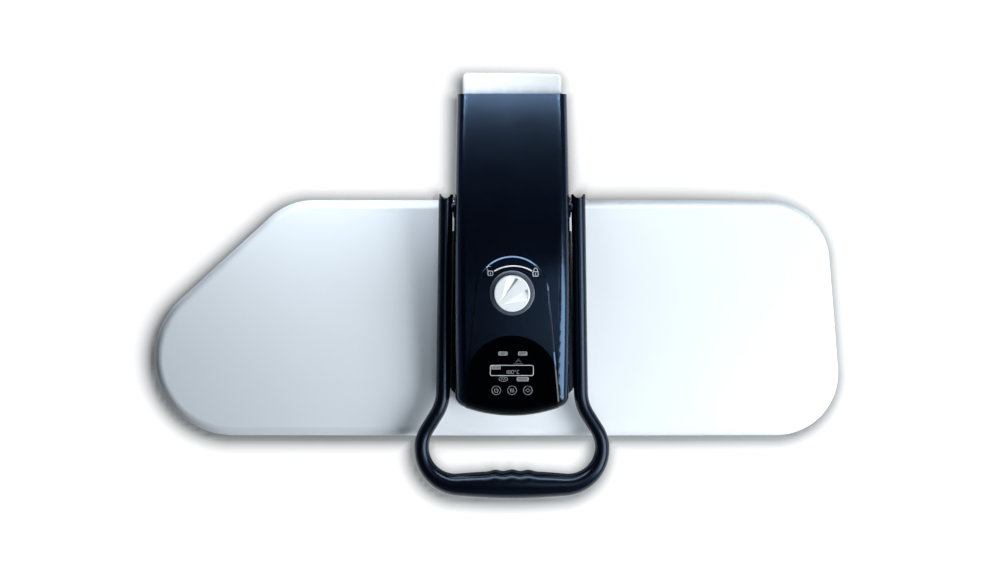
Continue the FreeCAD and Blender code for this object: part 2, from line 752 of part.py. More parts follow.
def tower_form(inset):
    """Rounded hinge tower: a tapering foot under a half-round head about the hinge axis."""
    radius = TOWER_RADIUS - inset
    foot = radius + TOWER_SPREAD
    half = TOWER_HALF_WIDTH - inset
    left = Vector(-half, HINGE_Y - radius, HINGE_Z)
    right = Vector(-half, HINGE_Y + radius, HINGE_Z)
    low_left = Vector(-half, HINGE_Y - foot, Z_RIM)
    low_right = Vector(-half, HINGE_Y + foot, Z_RIM)
    outline = Part.Wire([
        Part.Arc(left, Vector(-half, HINGE_Y, HINGE_Z + radius), right).toShape(),
        Part.LineSegment(right, low_right).toShape(),
        Part.LineSegment(low_right, low_left).toShape(),
        Part.LineSegment(low_left, left).toShape(),
    ])
    return Part.Face(outline).extrude(Vector(2 * half, 0, 0))


def base_form(inset, edge):
    top = Z_PEDESTAL - inset
    pedestal = tapered_prism(pedestal_outline(inset), pedestal_outline(inset + PEDESTAL_TAPER), Z_RIM, top)
    pedestal = pedestal.makeFillet(edge, level_edges(pedestal, top))
    spine_top = Z_RIM + SPINE_HEIGHT - inset
    spine = tapered_prism(spine_outline(inset), spine_outline(inset + SPINE_TAPER), Z_RIM, spine_top)
    spine = spine.makeFillet(edge, level_edges(spine, spine_top))
    return pedestal.fuse([spine, tower_form(inset)]).removeSplitter()


def base_cover():
    cover = base_form(0.0, PEDESTAL_EDGE)
    cover = cover.cut(base_form(PAN_WALL, PEDESTAL_EDGE - PAN_WALL))
    pin = rod_x(HINGE_Y, HINGE_Z, HINGE_PIN_RADIUS + SEAT_GAP, -ARM_HALF, ARM_HALF)
    return cover.cut(pin)


def bracket_outer():
    return TOWER_HALF_WIDTH - PAN_WALL - RUN_GAP


def hinge_bracket():
    """Folded steel bracket on the pan floor whose two walls carry the hinge pin."""
    low = Z_PAN + PAN_WALL
    half_foot = TOWER_RADIUS + TOWER_SPREAD - PAN_WALL - SIDE_GAP
    outer = bracket_outer()
    points = [
        (HINGE_Y - half_foot, low),
        (HINGE_Y + half_foot, low),
        (HINGE_Y + BRACKET_EAR_RADIUS, HINGE_Z),
        (HINGE_Y - BRACKET_EAR_RADIUS, HINGE_Z),
    ]
    wall = side_slab(points, outer - BRACKET_SHEET, outer)
    head = rod_x(HINGE_Y, HINGE_Z, BRACKET_EAR_RADIUS, outer - BRACKET_SHEET, outer)
    foot = block(-outer, outer, HINGE_Y - half_foot, HINGE_Y + half_foot, low, low + BRACKET_SHEET)
    bracket = fuse(foot, *both_sides(wall), *both_sides(head))
    return bracket.cut(rod_x(HINGE_Y, HINGE_Z, HINGE_PIN_RADIUS + RUN_FIT, -outer - 1, outer + 1))


def pin_reach():
    return CHEEK_INNER + CHEEK_REACH


def hinge_pin():
    return rod_x(HINGE_Y, HINGE_Z, HINGE_PIN_RADIUS, -pin_reach(), pin_reach())


def lift_springs():
    """Pair of coils round the hinge pin that carry the arm's weight as it opens."""
    high = bracket_outer() - BRACKET_SHEET - SEAT_GAP - SPRING_WIRE_RADIUS
    spring = coil(SPRING_COIL_RADIUS, SPRING_WIRE_RADIUS, SPRING_PITCH, SPRING_TURNS)
    spring.rotate(Vector(), Vector(0, 1, 0), -90)
    spring.translate(Vector(high, HINGE_Y, HINGE_Z))
    return Part.makeCompound(both_sides(spring))


def foot_places():
    half = BASE_LENGTH / 2 - FOOT_INSET
    rear = BASE_REAR - FOOT_INSET
    return [
        (-half, BASE_FRONT + FOOT_INSET),
        (half, BASE_FRONT + FOOT_INSET),
        (-half, PEDESTAL_REAR - FOOT_INSET),
        (half, PEDESTAL_REAR - FOOT_INSET),
        (-SPINE_HALF_WIDTH + FOOT_INSET, rear),
        (SPINE_HALF_WIDTH - FOOT_INSET, rear),
    ]


def feet():
    pads = []
    for x, y in foot_places():
        pads.append(Part.makeCone(FOOT_RADIUS - FOOT_TAPER, FOOT_RADIUS, FOOT_HEIGHT, Vector(x, y, 0)))
    return Part.makeCompound(pads)


def cord_gland():
    """Grommet in the rear wall of the pan where the mains lead passes."""
    z = (Z_PAN + Z_RIM) / 2
    rear = BASE_REAR + SEAT_GAP
    barrel = rod_y(GLAND_X, z, GLAND_RADIUS, BASE_REAR - PAN_WALL - GLAND_REACH, rear)
    flange = rod_y(GLAND_X, z, GLAND_FLANGE, rear, rear + GLAND_FLANGE_THICKNESS)
    gland = fuse(barrel, flange)
    inside = BASE_REAR - 2 * GLAND_REACH - PAN_WALL
    return gland.cut(rod_y(GLAND_X, z, GLAND_BORE, inside, BASE_REAR + GLAND_REACH))


# Arm housing, drawn about its own middle line

def arm_plan(inset):
    """Arm outline from above: bowed nose, rounded corners, straight flanks, slight rear taper."""
    nose_y = ARM_FRONT + ARM_NOSE_ARC
    corner_x = ARM_HALF - ARM_NOSE_CORNER
    reach = ARM_NOSE_ARC - ARM_NOSE_CORNER
    corner_y = nose_y - math.sqrt(reach ** 2 - corner_x ** 2)
    lean = math.degrees(math.atan2(corner_y - nose_y, corner_x))
    run = ARM_REAR - ARM_TAPER_START
    flank = (run ** 2 + ARM_TAPER ** 2) / (2 * ARM_TAPER)
    flank_x = ARM_HALF - flank
    turn = math.degrees(math.asin((run - inset) / (flank - inset)))
    corner = ARM_NOSE_CORNER - inset
    return arc_loop([
        (0, nose_y, ARM_NOSE_ARC - inset, -180 - lean, lean),
        (corner_x, corner_y, corner, lean, 0),
        (flank_x, ARM_TAPER_START, flank - inset, 0, turn),
        (-flank_x, ARM_TAPER_START, flank - inset, 180 - turn, 180),
        (-corner_x, corner_y, corner, 180, 180 - lean),
    ])


def roof_height(y, inset=0.0):
    """Height of the arm's roof, or of a surface set in from it, along the middle line."""
    curve = ARM_FRONT_CURVE if y < ARM_CREST_Y else ARM_REAR_CURVE
    return Z_CREST - curve + math.sqrt((curve - inset) ** 2 - (y - ARM_CREST_Y) ** 2)


def roof_frame(y):
    """Placement on the roof at depth y, with Z along the outward normal."""
    lean = math.degrees(math.asin((ARM_CREST_Y - y) / ARM_FRONT_CURVE))
    return Placement(Vector(0, y, roof_height(y)), Rotation(Vector(1, 0, 0), lean))


def on_roof(solid, y):
    placed = solid.copy()
    placed.Placement = roof_frame(y).multiply(placed.Placement)
    return placed


def arm_form(inset, z_low):
    """Arm body above z_low: the plan outline under the arched roof, with rounded top edges."""
    front = ARM_FRONT - ARM_EDGE_RADIUS
    rear = ARM_REAR + ARM_EDGE_RADIUS
    middle_front = (front + ARM_CREST_Y) / 2
    middle_rear = (rear + ARM_CREST_Y) / 2

    def roof_point(y):
        return Vector(-ARM_WIDTH, y, roof_height(y, inset))
    crest = Vector(-ARM_WIDTH, ARM_CREST_Y, Z_CREST - inset)
    low_front = Vector(-ARM_WIDTH, front, z_low)
    low_rear = Vector(-ARM_WIDTH, rear, z_low)
    profile = Part.Wire([
        Part.Arc(roof_point(front), roof_point(middle_front), crest).toShape(),
        Part.Arc(crest, roof_point(middle_rear), roof_point(rear)).toShape(),
        Part.LineSegment(roof_point(rear), low_rear).toShape(),
        Part.LineSegment(low_rear, low_front).toShape(),
        Part.LineSegment(low_front, roof_point(front)).toShape(),
    ])
    slab = Part.Face(profile).extrude(Vector(2 * ARM_WIDTH, 0, 0))
    body = prism(arm_plan(inset), z_low, Z_CREST + 1).common(slab)
    rim = []
    for edge in body.Edges:
        middle = edge.valueAt((edge.FirstParameter + edge.LastParameter) / 2)
        level = abs(edge.tangentAt((edge.FirstParameter + edge.LastParameter) / 2).z) < 0.7
        on_rear = middle.y > ARM_REAR - inset - 0.5
        on_crest = abs(middle.x) < 1 and middle.y > ARM_CREST_Y - 1
        if level and not on_rear and not on_crest and middle.z > z_low + 1:
            rim.append(edge)
    return body.makeFillet(ARM_EDGE_RADIUS - inset, rim)


def tongue_wire(margin):
    """Tongue outline: an arch about the knob whose sides spread towards the nose."""
    radius = ARCH_RADIUS + margin
    spread = FASCIA_SPREAD_ANGLE
    right = polar(0, KNOB_Y, radius, spread)
    top = polar(0, KNOB_Y, radius, 90)
    left = polar(0, KNOB_Y, radius, 180 - spread)
    low_y = ARM_FRONT - ARM_EDGE_RADIUS
    run = (right.y - low_y) * math.tan(math.radians(spread))
    low_right = Vector(right.x + run, low_y, 0)
    low_left = Vector(left.x - run, low_y, 0)
    return Part.Wire([
        Part.Arc(right, top, left).toShape(),
        Part.LineSegment(left, low_left).toShape(),
        Part.LineSegment(low_left, low_right).toShape(),
        Part.LineSegment(low_right, right).toShape(),
    ])


def lens_area(margin):
    """Everything in front of the lens arch, as an upright column."""
    radius = LENS_RADIUS + margin
    centre_y = LENS_TOP_Y - LENS_RADIUS
    arch = post(0, centre_y, radius, Z_DECK, Z_CREST + 2)
    front = block(-ARM_HALF, ARM_HALF, ARM_FRONT - ARM_EDGE_RADIUS, centre_y, Z_DECK, Z_CREST + 2)
    return arch.fuse(front)


def tongue_layer(margin, high, low, z_low):
    """Curved slab under the tongue outline between two surfaces set off from the roof."""
    column = prism(tongue_wire(margin), z_low, Z_CREST + 2)
    return column.common(arm_form(-high, z_low - 1)).cut(arm_form(low, z_low - 2))


def window_cutters():
    """Openings under the lens for the display and lamps, and for the button stems."""
    depth = 2 * ARM_WALL
    cutters = []
    half_width = LCD_WIDTH / 2
    half_depth = LCD_DEPTH / 2
    local_y = (LCD_Y - PANEL_Y)
    cutters.append(block(-half_width, half_width, local_y - half_depth, local_y + half_depth, -depth, 0))
    for x in (-LED_PITCH / 2, LED_PITCH / 2):
        cutters.append(post(x, LED_Y - PANEL_Y, LED_RADIUS + RUN_GAP, -depth, 0))
    for x in (-BUTTON_PITCH, 0, BUTTON_PITCH):
        cutters.append(post(x, BUTTON_Y - PANEL_Y, BUTTON_STEM_RADIUS + RUN_GAP, -depth, 0))
    return [on_roof(cutter, PANEL_Y) for cutter in cutters]


def board_boss_places():
    x = BOARD_WIDTH / 2 - 2 * BOARD_BOSS_RADIUS
    front = -BOARD_FRONT + 2 * BOARD_BOSS_RADIUS
    rear = BOARD_REAR - 2 * BOARD_BOSS_RADIUS
    return [(-x, front), (x, front), (-x, rear), (x, rear)]


def tank_top():
    return roof_height(ARM_REAR, ARM_WALL) - TANK_CLEARANCE


def arm_cover():
    """Upper shell of the arm with the recess for the fascia and the mouth for the tank."""
    shell = arm_form(0.0, Z_DECK)
    shell = shell.cut(arm_form(ARM_WALL, Z_DECK - 1))
    bosses = []
    for x, y in board_boss_places():
        boss = Part.makeCylinder(BOARD_BOSS_RADIUS, BOARD_DROP, Vector(x, y, -BOARD_DROP))
        bosses.append(on_roof(boss, PANEL_Y))
    shell = shell.fuse(bosses)
    recess = tongue_layer(FASCIA_GAP, 2 * FASCIA_PROUD, FASCIA_DEPTH + FASCIA_FLOAT, Z_DECK + FASCIA_SKIRT)
    shell = shell.cut(recess)
    mouth_half = TANK_HALF_WIDTH + SIDE_GAP / 2
    mouth = block(-mouth_half, mouth_half, TANK_FRONT, ARM_REAR + 1, Z_DECK - 1, tank_top() + SIDE_GAP / 2)
    pivot = rod_x(PIVOT_Y, PIVOT_Z, SHAFT_RADIUS + BUSH_WALL + SEAT_GAP, -ARM_WIDTH, ARM_WIDTH)
    spindle = Part.makeCylinder(SPINDLE_RADIUS + RUN_FIT, 4 * ARM_WALL, Vector(0, 0, -3 * ARM_WALL))
    return shell.cut([mouth, pivot, on_roof(spindle, KNOB_Y)] + window_cutters())


def cheek():
    """Lobe of the arm that hangs beside the tower and hides the hinge pin's end."""
    points = [
        (HINGE_Y - CHEEK_RADIUS, HINGE_Z),
        (HINGE_Y + CHEEK_RADIUS, HINGE_Z),
        (ARM_REAR - CHEEK_REACH, Z_DECK - ARM_FLOOR),
        (STEP_Y + CHEEK_REACH, Z_DECK - ARM_FLOOR),
    ]
    slab = side_slab(points, CHEEK_INNER, CHEEK_OUTER - ARM_TAPER)
    lobe = rod_x(HINGE_Y, HINGE_Z, CHEEK_RADIUS, CHEEK_INNER, CHEEK_OUTER - ARM_TAPER)
    pocket = rod_x(HINGE_Y, HINGE_Z, HINGE_PIN_RADIUS + SEAT_GAP, CHEEK_INNER - 1, pin_reach() + SEAT_GAP)
    body = slab.fuse(lobe).removeSplitter()
    rim = []
    for edge in body.Edges:
        box = edge.BoundBox
        if box.XMin > CHEEK_OUTER - ARM_TAPER - NEAR and box.ZMin < Z_DECK - ARM_FLOOR - 1:
            rim.append(edge)
    return body.makeFillet(ARM_FLOOR, rim).cut(pocket)


def side_rail():
    """Ledge along the tray's flank that closes the gap to the handle's leg."""
    inner = ARM_HALF - ARM_WALL / 2
    slope = math.tan(math.radians(LEG_TAPER_ANGLE))
    rear_x = LEG_X - LEG_WIDTH / 2 - RAIL_GAP
    front_x = rear_x + (PIVOT_Y - RAIL_FRONT) * slope
    high = Z_DECK - RAIL_DROP
    wire = Part.makePolygon([
        Vector(inner, PIVOT_Y, 0),
        Vector(rear_x, PIVOT_Y, 0),
        Vector(front_x, RAIL_FRONT, 0),
        Vector(inner, RAIL_FRONT - (front_x - inner), 0),
        Vector(inner, PIVOT_Y, 0),
    ])
    return prism(wire, high - RAIL_THICKNESS, high)


def arm_tray():
    """Lower shell of the arm: a tray over the plate, a raised deck for the tank, rails, cheeks."""
    tray = prism(arm_plan(0.0), Z_ARM, Z_DECK)
    keel = [edge for edge in level_edges(tray, Z_ARM) if edge.BoundBox.YMin < ARM_REAR - 1]
    tray = tray.makeFillet(ARM_KEEL_RADIUS, keel)
    hollow = prism(arm_plan(ARM_WALL), Z_FLOOR, Z_DECK + 1)
    hollow = hollow.common(block(-ARM_HALF, ARM_HALF, ARM_FRONT, STEP_Y - ARM_FLOOR, Z_ARM, Z_DECK + 1))
    under = block(-CHEEK_INNER, CHEEK_INNER, STEP_Y, ARM_REAR + 1, Z_ARM - 1, Z_DECK - ARM_FLOOR)
    tray = tray.cut([hollow, under])
    tray = tray.fuse(both_sides(cheek()) + both_sides(side_rail())).removeSplitter()
    cutters = []
    slot = block(
        FRAME_INNER - RUN_GAP,
        FRAME_OUTER + RUN_GAP,
        STEP_Y - ARM_FLOOR - SIDE_GAP,
        STEP_Y + SIDE_GAP,
        Z_ARM - 1,
        Z_DECK - ARM_FLOOR,
    )
    cutters += both_sides(slot)
    for x, y in stud_places():
        cutters.append(post(x - ARM_X, y, bush_outer() + SEAT_GAP, Z_ARM - 1, Z_DECK))
    cutters.append(post(0, PUMP_Y, HOSE_RADIUS + HOLE_CLEARANCE, Z_ARM - 1, Z_DECK))
    return tray.cut(cutters)


def bush_outer():
    return STUD_RADIUS + RUN_FIT + BUSH_WALL


def arm_frame():
    """Folded steel channel that joins the hinge ears, the handle lugs and the stud guides."""
    web_rear = STEP_Y - ARM_FLOOR - SIDE_GAP
    front = -FRAME_FRONT
    web = block(-FRAME_OUTER, FRAME_OUTER, front, web_rear, Z_FLOOR, Z_WEB)
    lip = block(FRAME_INNER, FRAME_OUTER, front, web_rear, Z_FLOOR, Z_FLOOR + FRAME_LIP)
    lug_points = [
        (PIVOT_Y - 2 * FRAME_LUG_RADIUS, Z_FLOOR),
        (web_rear, Z_FLOOR),
        (min(web_rear, PIVOT_Y + FRAME_LUG_RADIUS), PIVOT_Z),
        (PIVOT_Y - FRAME_LUG_RADIUS, PIVOT_Z),
    ]
    lug = side_slab(lug_points, FRAME_INNER, FRAME_OUTER)
    eye = rod_x(PIVOT_Y, PIVOT_Z, FRAME_LUG_RADIUS, FRAME_INNER, FRAME_OUTER)
    tail_top = Z_DECK - ARM_FLOOR - RUN_GAP
    tail_points = [
        (web_rear - FRAME_LIP, Z_FLOOR),
        (web_rear - FRAME_LIP, tail_top),
        (HINGE_Y + FRAME_EAR_RADIUS, tail_top),
        (HINGE_Y + FRAME_EAR_RADIUS, HINGE_Z),
        (HINGE_Y - FRAME_EAR_RADIUS, HINGE_Z),
        (STEP_Y + SIDE_GAP / 2, Z_FLOOR),
    ]
    tail = side_slab(tail_points, FRAME_INNER, FRAME_OUTER)
    ear = rod_x(HINGE_Y, HINGE_Z, FRAME_EAR_RADIUS, FRAME_INNER, FRAME_OUTER)
    wall = fuse(lip, lug, eye, tail, ear)
    frame = fuse(web, *both_sides(wall))
    span = 2 * FRAME_OUTER
    cutters = [
        rod_x(PIVOT_Y, PIVOT_Z, SHAFT_RADIUS + BUSH_WALL + SEAT_GAP, -span, span),
        rod_x(HINGE_Y, HINGE_Z, HINGE_PIN_RADIUS + BUSH_WALL + SEAT_GAP, -span, span),
        post(0, PUMP_Y, HOSE_RADIUS + HOLE_CLEARANCE, Z_FLOOR - 1, Z_WEB + 1),
    ]
    for x, y in stud_places():
        cutters.append(post(x - ARM_X, y, bush_outer() + SEAT_GAP, Z_FLOOR - 1, Z_WEB + 1))
    return frame.cut(cutters)


def flanged_bush_x(y, z, bore, x0, x1, flange_x0, flange_x1, flange_radius):
    tube = rod_x(y, z, bore + BUSH_WALL, x0, x1)
    flange = rod_x(y, z, flange_radius, flange_x0, flange_x1)
    return fuse(tube, flange).cut(rod_x(y, z, bore, x0 - 1, x1 + 1))


def hinge_bushes():
    bore = HINGE_PIN_RADIUS + RUN_FIT
    inner = FRAME_INNER - SIDE_GAP + SEAT_GAP
    bush = flanged_bush_x(
        HINGE_Y, HINGE_Z, bore, inner, FRAME_OUTER + SEAT_GAP,
        inner, FRAME_INNER - SEAT_GAP, bore + BUSH_WALL + BUSH_FLANGE,
    )
    return Part.makeCompound(both_sides(bush))


def pivot_bushes():
    """Bearings of the handle shaft, with the collar that shows between arm and handle."""
    bore = SHAFT_RADIUS + RUN_FIT
    outer = ARM_HALF + COLLAR
    bush = flanged_bush_x(
        PIVOT_Y, PIVOT_Z, bore, FRAME_INNER, outer,
        ARM_HALF + SEAT_GAP, outer, COLLAR_RADIUS,
    )
    return Part.makeCompound(both_sides(bush))


def guide_bushes():
    bushes = []
    for x, y in stud_places():
        tube = post(x - ARM_X, y, bush_outer(), Z_ARM, bush_top())
        flange = post(x - ARM_X, y, bush_outer() + BUSH_FLANGE, Z_WEB, bush_top())
        bore = post(x - ARM_X, y, STUD_RADIUS + RUN_FIT, Z_ARM - 1, bush_top() + 1)
        bushes.append(fuse(tube, flange).cut(bore))
    return Part.makeCompound(bushes)


# Fascia and controls

def tongue():
    """Raised tongue whose upper edge slopes down to the roof all round."""
    layer = tongue_layer(0.0, FASCIA_PROUD, FASCIA_DEPTH, Z_DECK + FASCIA_SKIRT + FASCIA_GAP)
    rim = []
    for edge in layer.Edges:
        middle = edge.valueAt((edge.FirstParameter + edge.LastParameter) / 2)
        over_roof = middle.z > roof_height(middle.y) + FASCIA_PROUD / 2
        if over_roof and middle.y > LENS_TOP_Y - LENS_RADIUS:
            rim.append(edge)
    return layer.makeChamfer(FASCIA_BEVEL_DROP, FASCIA_BEVEL, rim)


def fascia():
    layer = tongue()
    layer = layer.cut(lens_area(FASCIA_GAP))
    hole = Part.makeCylinder(BEZEL_RADIUS + FASCIA_FLOAT, 4 * ARM_WALL, Vector(0, 0, -2 * ARM_WALL))
    return layer.cut(on_roof(hole, KNOB_Y))


def display_lens():
    layer = tongue().common(lens_area(0.0))
    holes = []
    for x in (-BUTTON_PITCH, 0, BUTTON_PITCH):
        hole = post(x, BUTTON_Y - PANEL_Y, BUTTON_RADIUS + FASCIA_FLOAT, -2 * ARM_WALL, ARM_WALL)
        holes.append(on_roof(hole, PANEL_Y))
    return layer.cut(holes)


def knob_bezel():
    """Ring whose inner side falls like a funnel to the foot of the knob."""
    low = -FASCIA_DEPTH - FASCIA_FLOAT + SEAT_GAP
    throat = KNOB_RADIUS + 2 * RUN_GAP
    crest = BEZEL_RADIUS - BEZEL_CREST
    wire = Part.makePolygon([
        Vector(throat, 0, low),
        Vector(BEZEL_RADIUS, 0, low),
        Vector(BEZEL_RADIUS, 0, BEZEL_PROUD - BEZEL_CREST / 2),
        Vector(crest, 0, BEZEL_PROUD),
        Vector(throat, 0, low + BEZEL_LAND),
        Vector(throat, 0, low),
    ])
    ring = Part.Face(wire).revolve(Vector(), Vector(0, 0, 1), 360)
    return on_roof(ring, KNOB_Y)


def knob_pocket():
    """Hollow beside the finger bar, deepest at the bar's broad end, inside the knob's rim."""
    well_radius = KNOB_RADIUS - KNOB_RIM
    well = post(0, 0, well_radius, 0, KNOB_HEIGHT + 1)
    reach = 4 * KNOB_RADIUS
    floor = block(-reach, reach, -reach, reach, 0, reach)
    floor.rotate(Vector(), Vector(1, 0, 0), KNOB_FLOOR_LEAN)
    floor.rotate(Vector(), Vector(0, 1, 0), KNOB_FLOOR_RISE)
    floor.translate(Vector(well_radius, KNOB_BAR / 2, KNOB_HEIGHT - KNOB_POCKET_DEPTH))
    side = block(-2 * KNOB_RADIUS, 2 * KNOB_RADIUS, 0, 2 * KNOB_RADIUS, 0, 2 * KNOB_HEIGHT)
    side.rotate(Vector(), Vector(0, 0, 1), KNOB_BAR_TAPER)
    side.translate(Vector(0, KNOB_BAR / 2, 0))
    return well.common(floor).common(side)


def lock_knob():
    """Round knob with a tapering finger bar between two pockets, turned to its locked mark."""
    low = -FASCIA_DEPTH - FASCIA_FLOAT + 2 * RUN_GAP
    body = post(0, 0, KNOB_RADIUS, low, KNOB_HEIGHT)
    body = body.makeFillet(KNOB_EDGE, level_edges(body, KNOB_HEIGHT))
    pocket = knob_pocket()
    body = body.cut([pocket, pocket.mirror(Vector(), Vector(0, 1, 0))])
    bore = post(0, 0, SPINDLE_RADIUS + RUN_FIT, low - 1, SPINDLE_IN_KNOB + SEAT_GAP)
    body = body.cut(bore)
    body.rotate(Vector(), Vector(0, 0, 1), KNOB_POINTER_ANGLE)
    return on_roof(body, KNOB_Y)


def spindle_depth():
    return roof_height(KNOB_Y) - (Z_YOKE_TOP + PLATE_LIFT + HOLE_CLEARANCE)


def lock_spindle():
    return on_roof(post(0, 0, SPINDLE_RADIUS, -spindle_depth(), SPINDLE_IN_KNOB), KNOB_Y)


def lock_cam():
    """Locking finger on the foot of the knob's spindle."""
    low = -spindle_depth() + RUN_GAP
    high = low + LOCK_CAM_THICKNESS
    hub = post(0, 0, LOCK_CAM_RADIUS, low, high)
    nose_radius = LOCK_CAM_RADIUS / 2
    nose = post(LOCK_CAM_REACH - nose_radius, 0, nose_radius, low, high)
    neck = block(0, LOCK_CAM_REACH - nose_radius, -nose_radius, nose_radius, low, high)
    cam = fuse(hub, nose, neck).cut(post(0, 0, SPINDLE_RADIUS + RUN_FIT, low - 1, high + 1))
    return on_roof(cam, KNOB_Y)


def board_top():
    return -BOARD_DROP - SEAT_GAP


def control_board():
    half = BOARD_WIDTH / 2
    wire = rounded_rectangle(-half, half, -BOARD_FRONT, BOARD_REAR, BOARD_BOSS_RADIUS)
    return on_roof(prism(wire, board_top() - BOARD_THICKNESS, board_top()), PANEL_Y)


def lcd_module():
    half_width = LCD_WIDTH / 2 + LCD_BORDER
    half_depth = LCD_DEPTH / 2 + LCD_BORDER
    y = LCD_Y - PANEL_Y
    wire = rounded_rectangle(-half_width, half_width, y - half_depth, y + half_depth, LCD_BORDER)
    return on_roof(prism(wire, board_top() + SEAT_GAP, -ARM_WALL - 2 * RUN_GAP), PANEL_Y)


def indicator_lamps():
    """Two lamps that stand on the board under the lens."""
    lamps = []
    for x in (-LED_PITCH / 2, LED_PITCH / 2):
        lamp = post(x, LED_Y - PANEL_Y, LED_RADIUS, board_top() + SEAT_GAP, -2 * FASCIA_DEPTH)
        lamps.append(on_roof(lamp, PANEL_Y))
    return Part.makeCompound(lamps)


def switch_block():
    """Three push switches under the button stems."""
    half = SWITCH_SIDE / 2
    blocks = []
    for x in (-BUTTON_PITCH, 0, BUTTON_PITCH):
        y = BUTTON_Y - PANEL_Y
        body = block(x - half, x + half, y - half, y + half, board_top(), board_top() + SWITCH_HEIGHT)
        blocks.append(on_roof(body, PANEL_Y))
    return Part.makeCompound(blocks)


def button(place):
    """Round key in the lens with a stem down to its switch; place is -1, 0 or 1."""
    x = place * BUTTON_PITCH
    y = BUTTON_Y - PANEL_Y
    high = FASCIA_PROUD + BUTTON_PROUD
    low = high - BUTTON_THICKNESS
    cap = post(x, y, BUTTON_RADIUS, low, high)
    cap = cap.makeFillet(BUTTON_PROUD, level_edges(cap, high))
    foot = board_top() + SWITCH_HEIGHT + BUTTON_TRAVEL + SEAT_GAP
    stem = post(x, y, BUTTON_STEM_RADIUS, foot, low)
    return on_roof(fuse(cap, stem), PANEL_Y)


# Water works

def tank_form(inset):
    x = TANK_HALF_WIDTH - inset
    corner = TANK_CORNER - inset
    wire = rounded_rectangle(-x, x, TANK_FRONT + inset, TANK_REAR - inset, corner)
    low = Z_DECK + RUN_GAP + inset
    high = tank_top() - inset
    form = prism(wire, low, high)
    return form.makeFillet(TANK_EDGE - inset, level_edges(form, low) + level_edges(form, high))


def tank_cap_y():
    return TANK_FRONT + TANK_CAP_BEHIND


def valve_z():
    return Z_DECK + RUN_GAP + TANK_WALL + VALVE_RADIUS


def water_tank():
    """Slide-out tank whose exposed end has finger flutes that fade towards the rear."""
    tank = tank_form(0.0)
    flutes = []
    for number in range(FLUTE_COUNT):
        x = (number - (FLUTE_COUNT - 1) / 2) * FLUTE_PITCH
        length = TANK_OVERHANG * 3
        flute = Part.makeCylinder(FLUTE_RADIUS, length, Vector(0, -length / 2, 0), Vector(0, 1, 0))
        flute.rotate(Vector(), Vector(1, 0, 0), FLUTE_TILT)
        flute.translate(Vector(x, ARM_REAR, tank_top() - FLUTE_DEPTH + FLUTE_RADIUS))
        flutes.append(flute)
    behind = block(-ARM_HALF, ARM_HALF, ARM_REAR, TANK_REAR + 1, Z_DECK, Z_CREST)
    tank = tank.cut(Part.makeCompound(flutes).common(behind))
    hollow = tank_form(TANK_WALL)
    fluted_low = tank_top() - 2 * FLUTE_DEPTH
    rear_wall = block(-ARM_HALF, ARM_HALF, ARM_REAR - TANK_WALL, TANK_REAR, fluted_low, Z_CREST)
    tank = tank.cut(hollow.cut(rear_wall))
    seat_low = tank_top() - TANK_CAP_DEPTH
    seat_high = tank_top() - TANK_WALL / 2
    seat = post(0, tank_cap_y(), TANK_CAP_RADIUS + TANK_WALL, seat_low - TANK_WALL, seat_high)
    tank = fuse(tank, seat)
    tank = tank.cut(post(0, tank_cap_y(), TANK_CAP_RADIUS + SEAT_GAP, seat_low, tank_top() + 1))
    filler = post(0, tank_cap_y(), TANK_CAP_RADIUS - TANK_WALL, seat_low - 2 * TANK_WALL, tank_top())
    valve = rod_y(0, valve_z(), VALVE_RADIUS + RUN_FIT, TANK_FRONT - 1, TANK_FRONT + VALVE_INSIDE)
    return tank.cut([filler, valve])


def tank_cap():
    """Flush stopper of the filling hole with a raised finger rib in a dished face."""
    low = tank_top() - TANK_CAP_DEPTH
    cap = post(0, tank_cap_y(), TANK_CAP_RADIUS, low, tank_top())
    plug = post(0, tank_cap_y(), TANK_CAP_RADIUS - TANK_WALL - SEAT_GAP, low - TANK_WALL, low + SEAT_GAP)
    dish = post(0, tank_cap_y(), TANK_CAP_RADIUS - TANK_WALL, low + TANK_CAP_DEPTH / 2, tank_top() + 1)
    rib = block(
        -TANK_CAP_RADIUS, TANK_CAP_RADIUS,
        tank_cap_y() - TANK_WALL / 2, tank_cap_y() + TANK_WALL / 2,
        low, tank_top() + 1,
    )
    return fuse(cap.cut(dish.cut(rib)), plug)


def tank_valve():
    front = TANK_FRONT - VALVE_REACH
    rear = TANK_FRONT + VALVE_INSIDE
    tube = rod_y(0, valve_z(), VALVE_RADIUS, front, rear)
    return tube.cut(rod_y(0, valve_z(), NIPPLE_RADIUS, front - 1, rear + 1))


def dock_middle():
    return TANK_FRONT - SEAT_GAP - DOCK_DEPTH / 2


def tank_dock():
    """Socket on the deck that takes the tank's valve and leads up to the pump hose."""
    rear = TANK_FRONT - SEAT_GAP
    body = block(-DOCK_HALF_WIDTH, DOCK_HALF_WIDTH, rear - DOCK_DEPTH, rear, Z_DECK, Z_DECK + DOCK_HEIGHT)
    body = body.cut(rod_y(0, valve_z(), VALVE_RADIUS + RUN_GAP, rear - VALVE_REACH - SEAT_GAP, rear + 1))
    high = Z_DECK + DOCK_HEIGHT
    return fuse(body, post(0, dock_middle(), NIPPLE_RADIUS, high - 1, high + NIPPLE_LENGTH))


def hose_level():
    return PIVOT_Z + SHAFT_RADIUS + HOSE_OVER_SHAFT + HOSE_RADIUS


def pump_rear():
    return PUMP_Y + PUMP_RADIUS


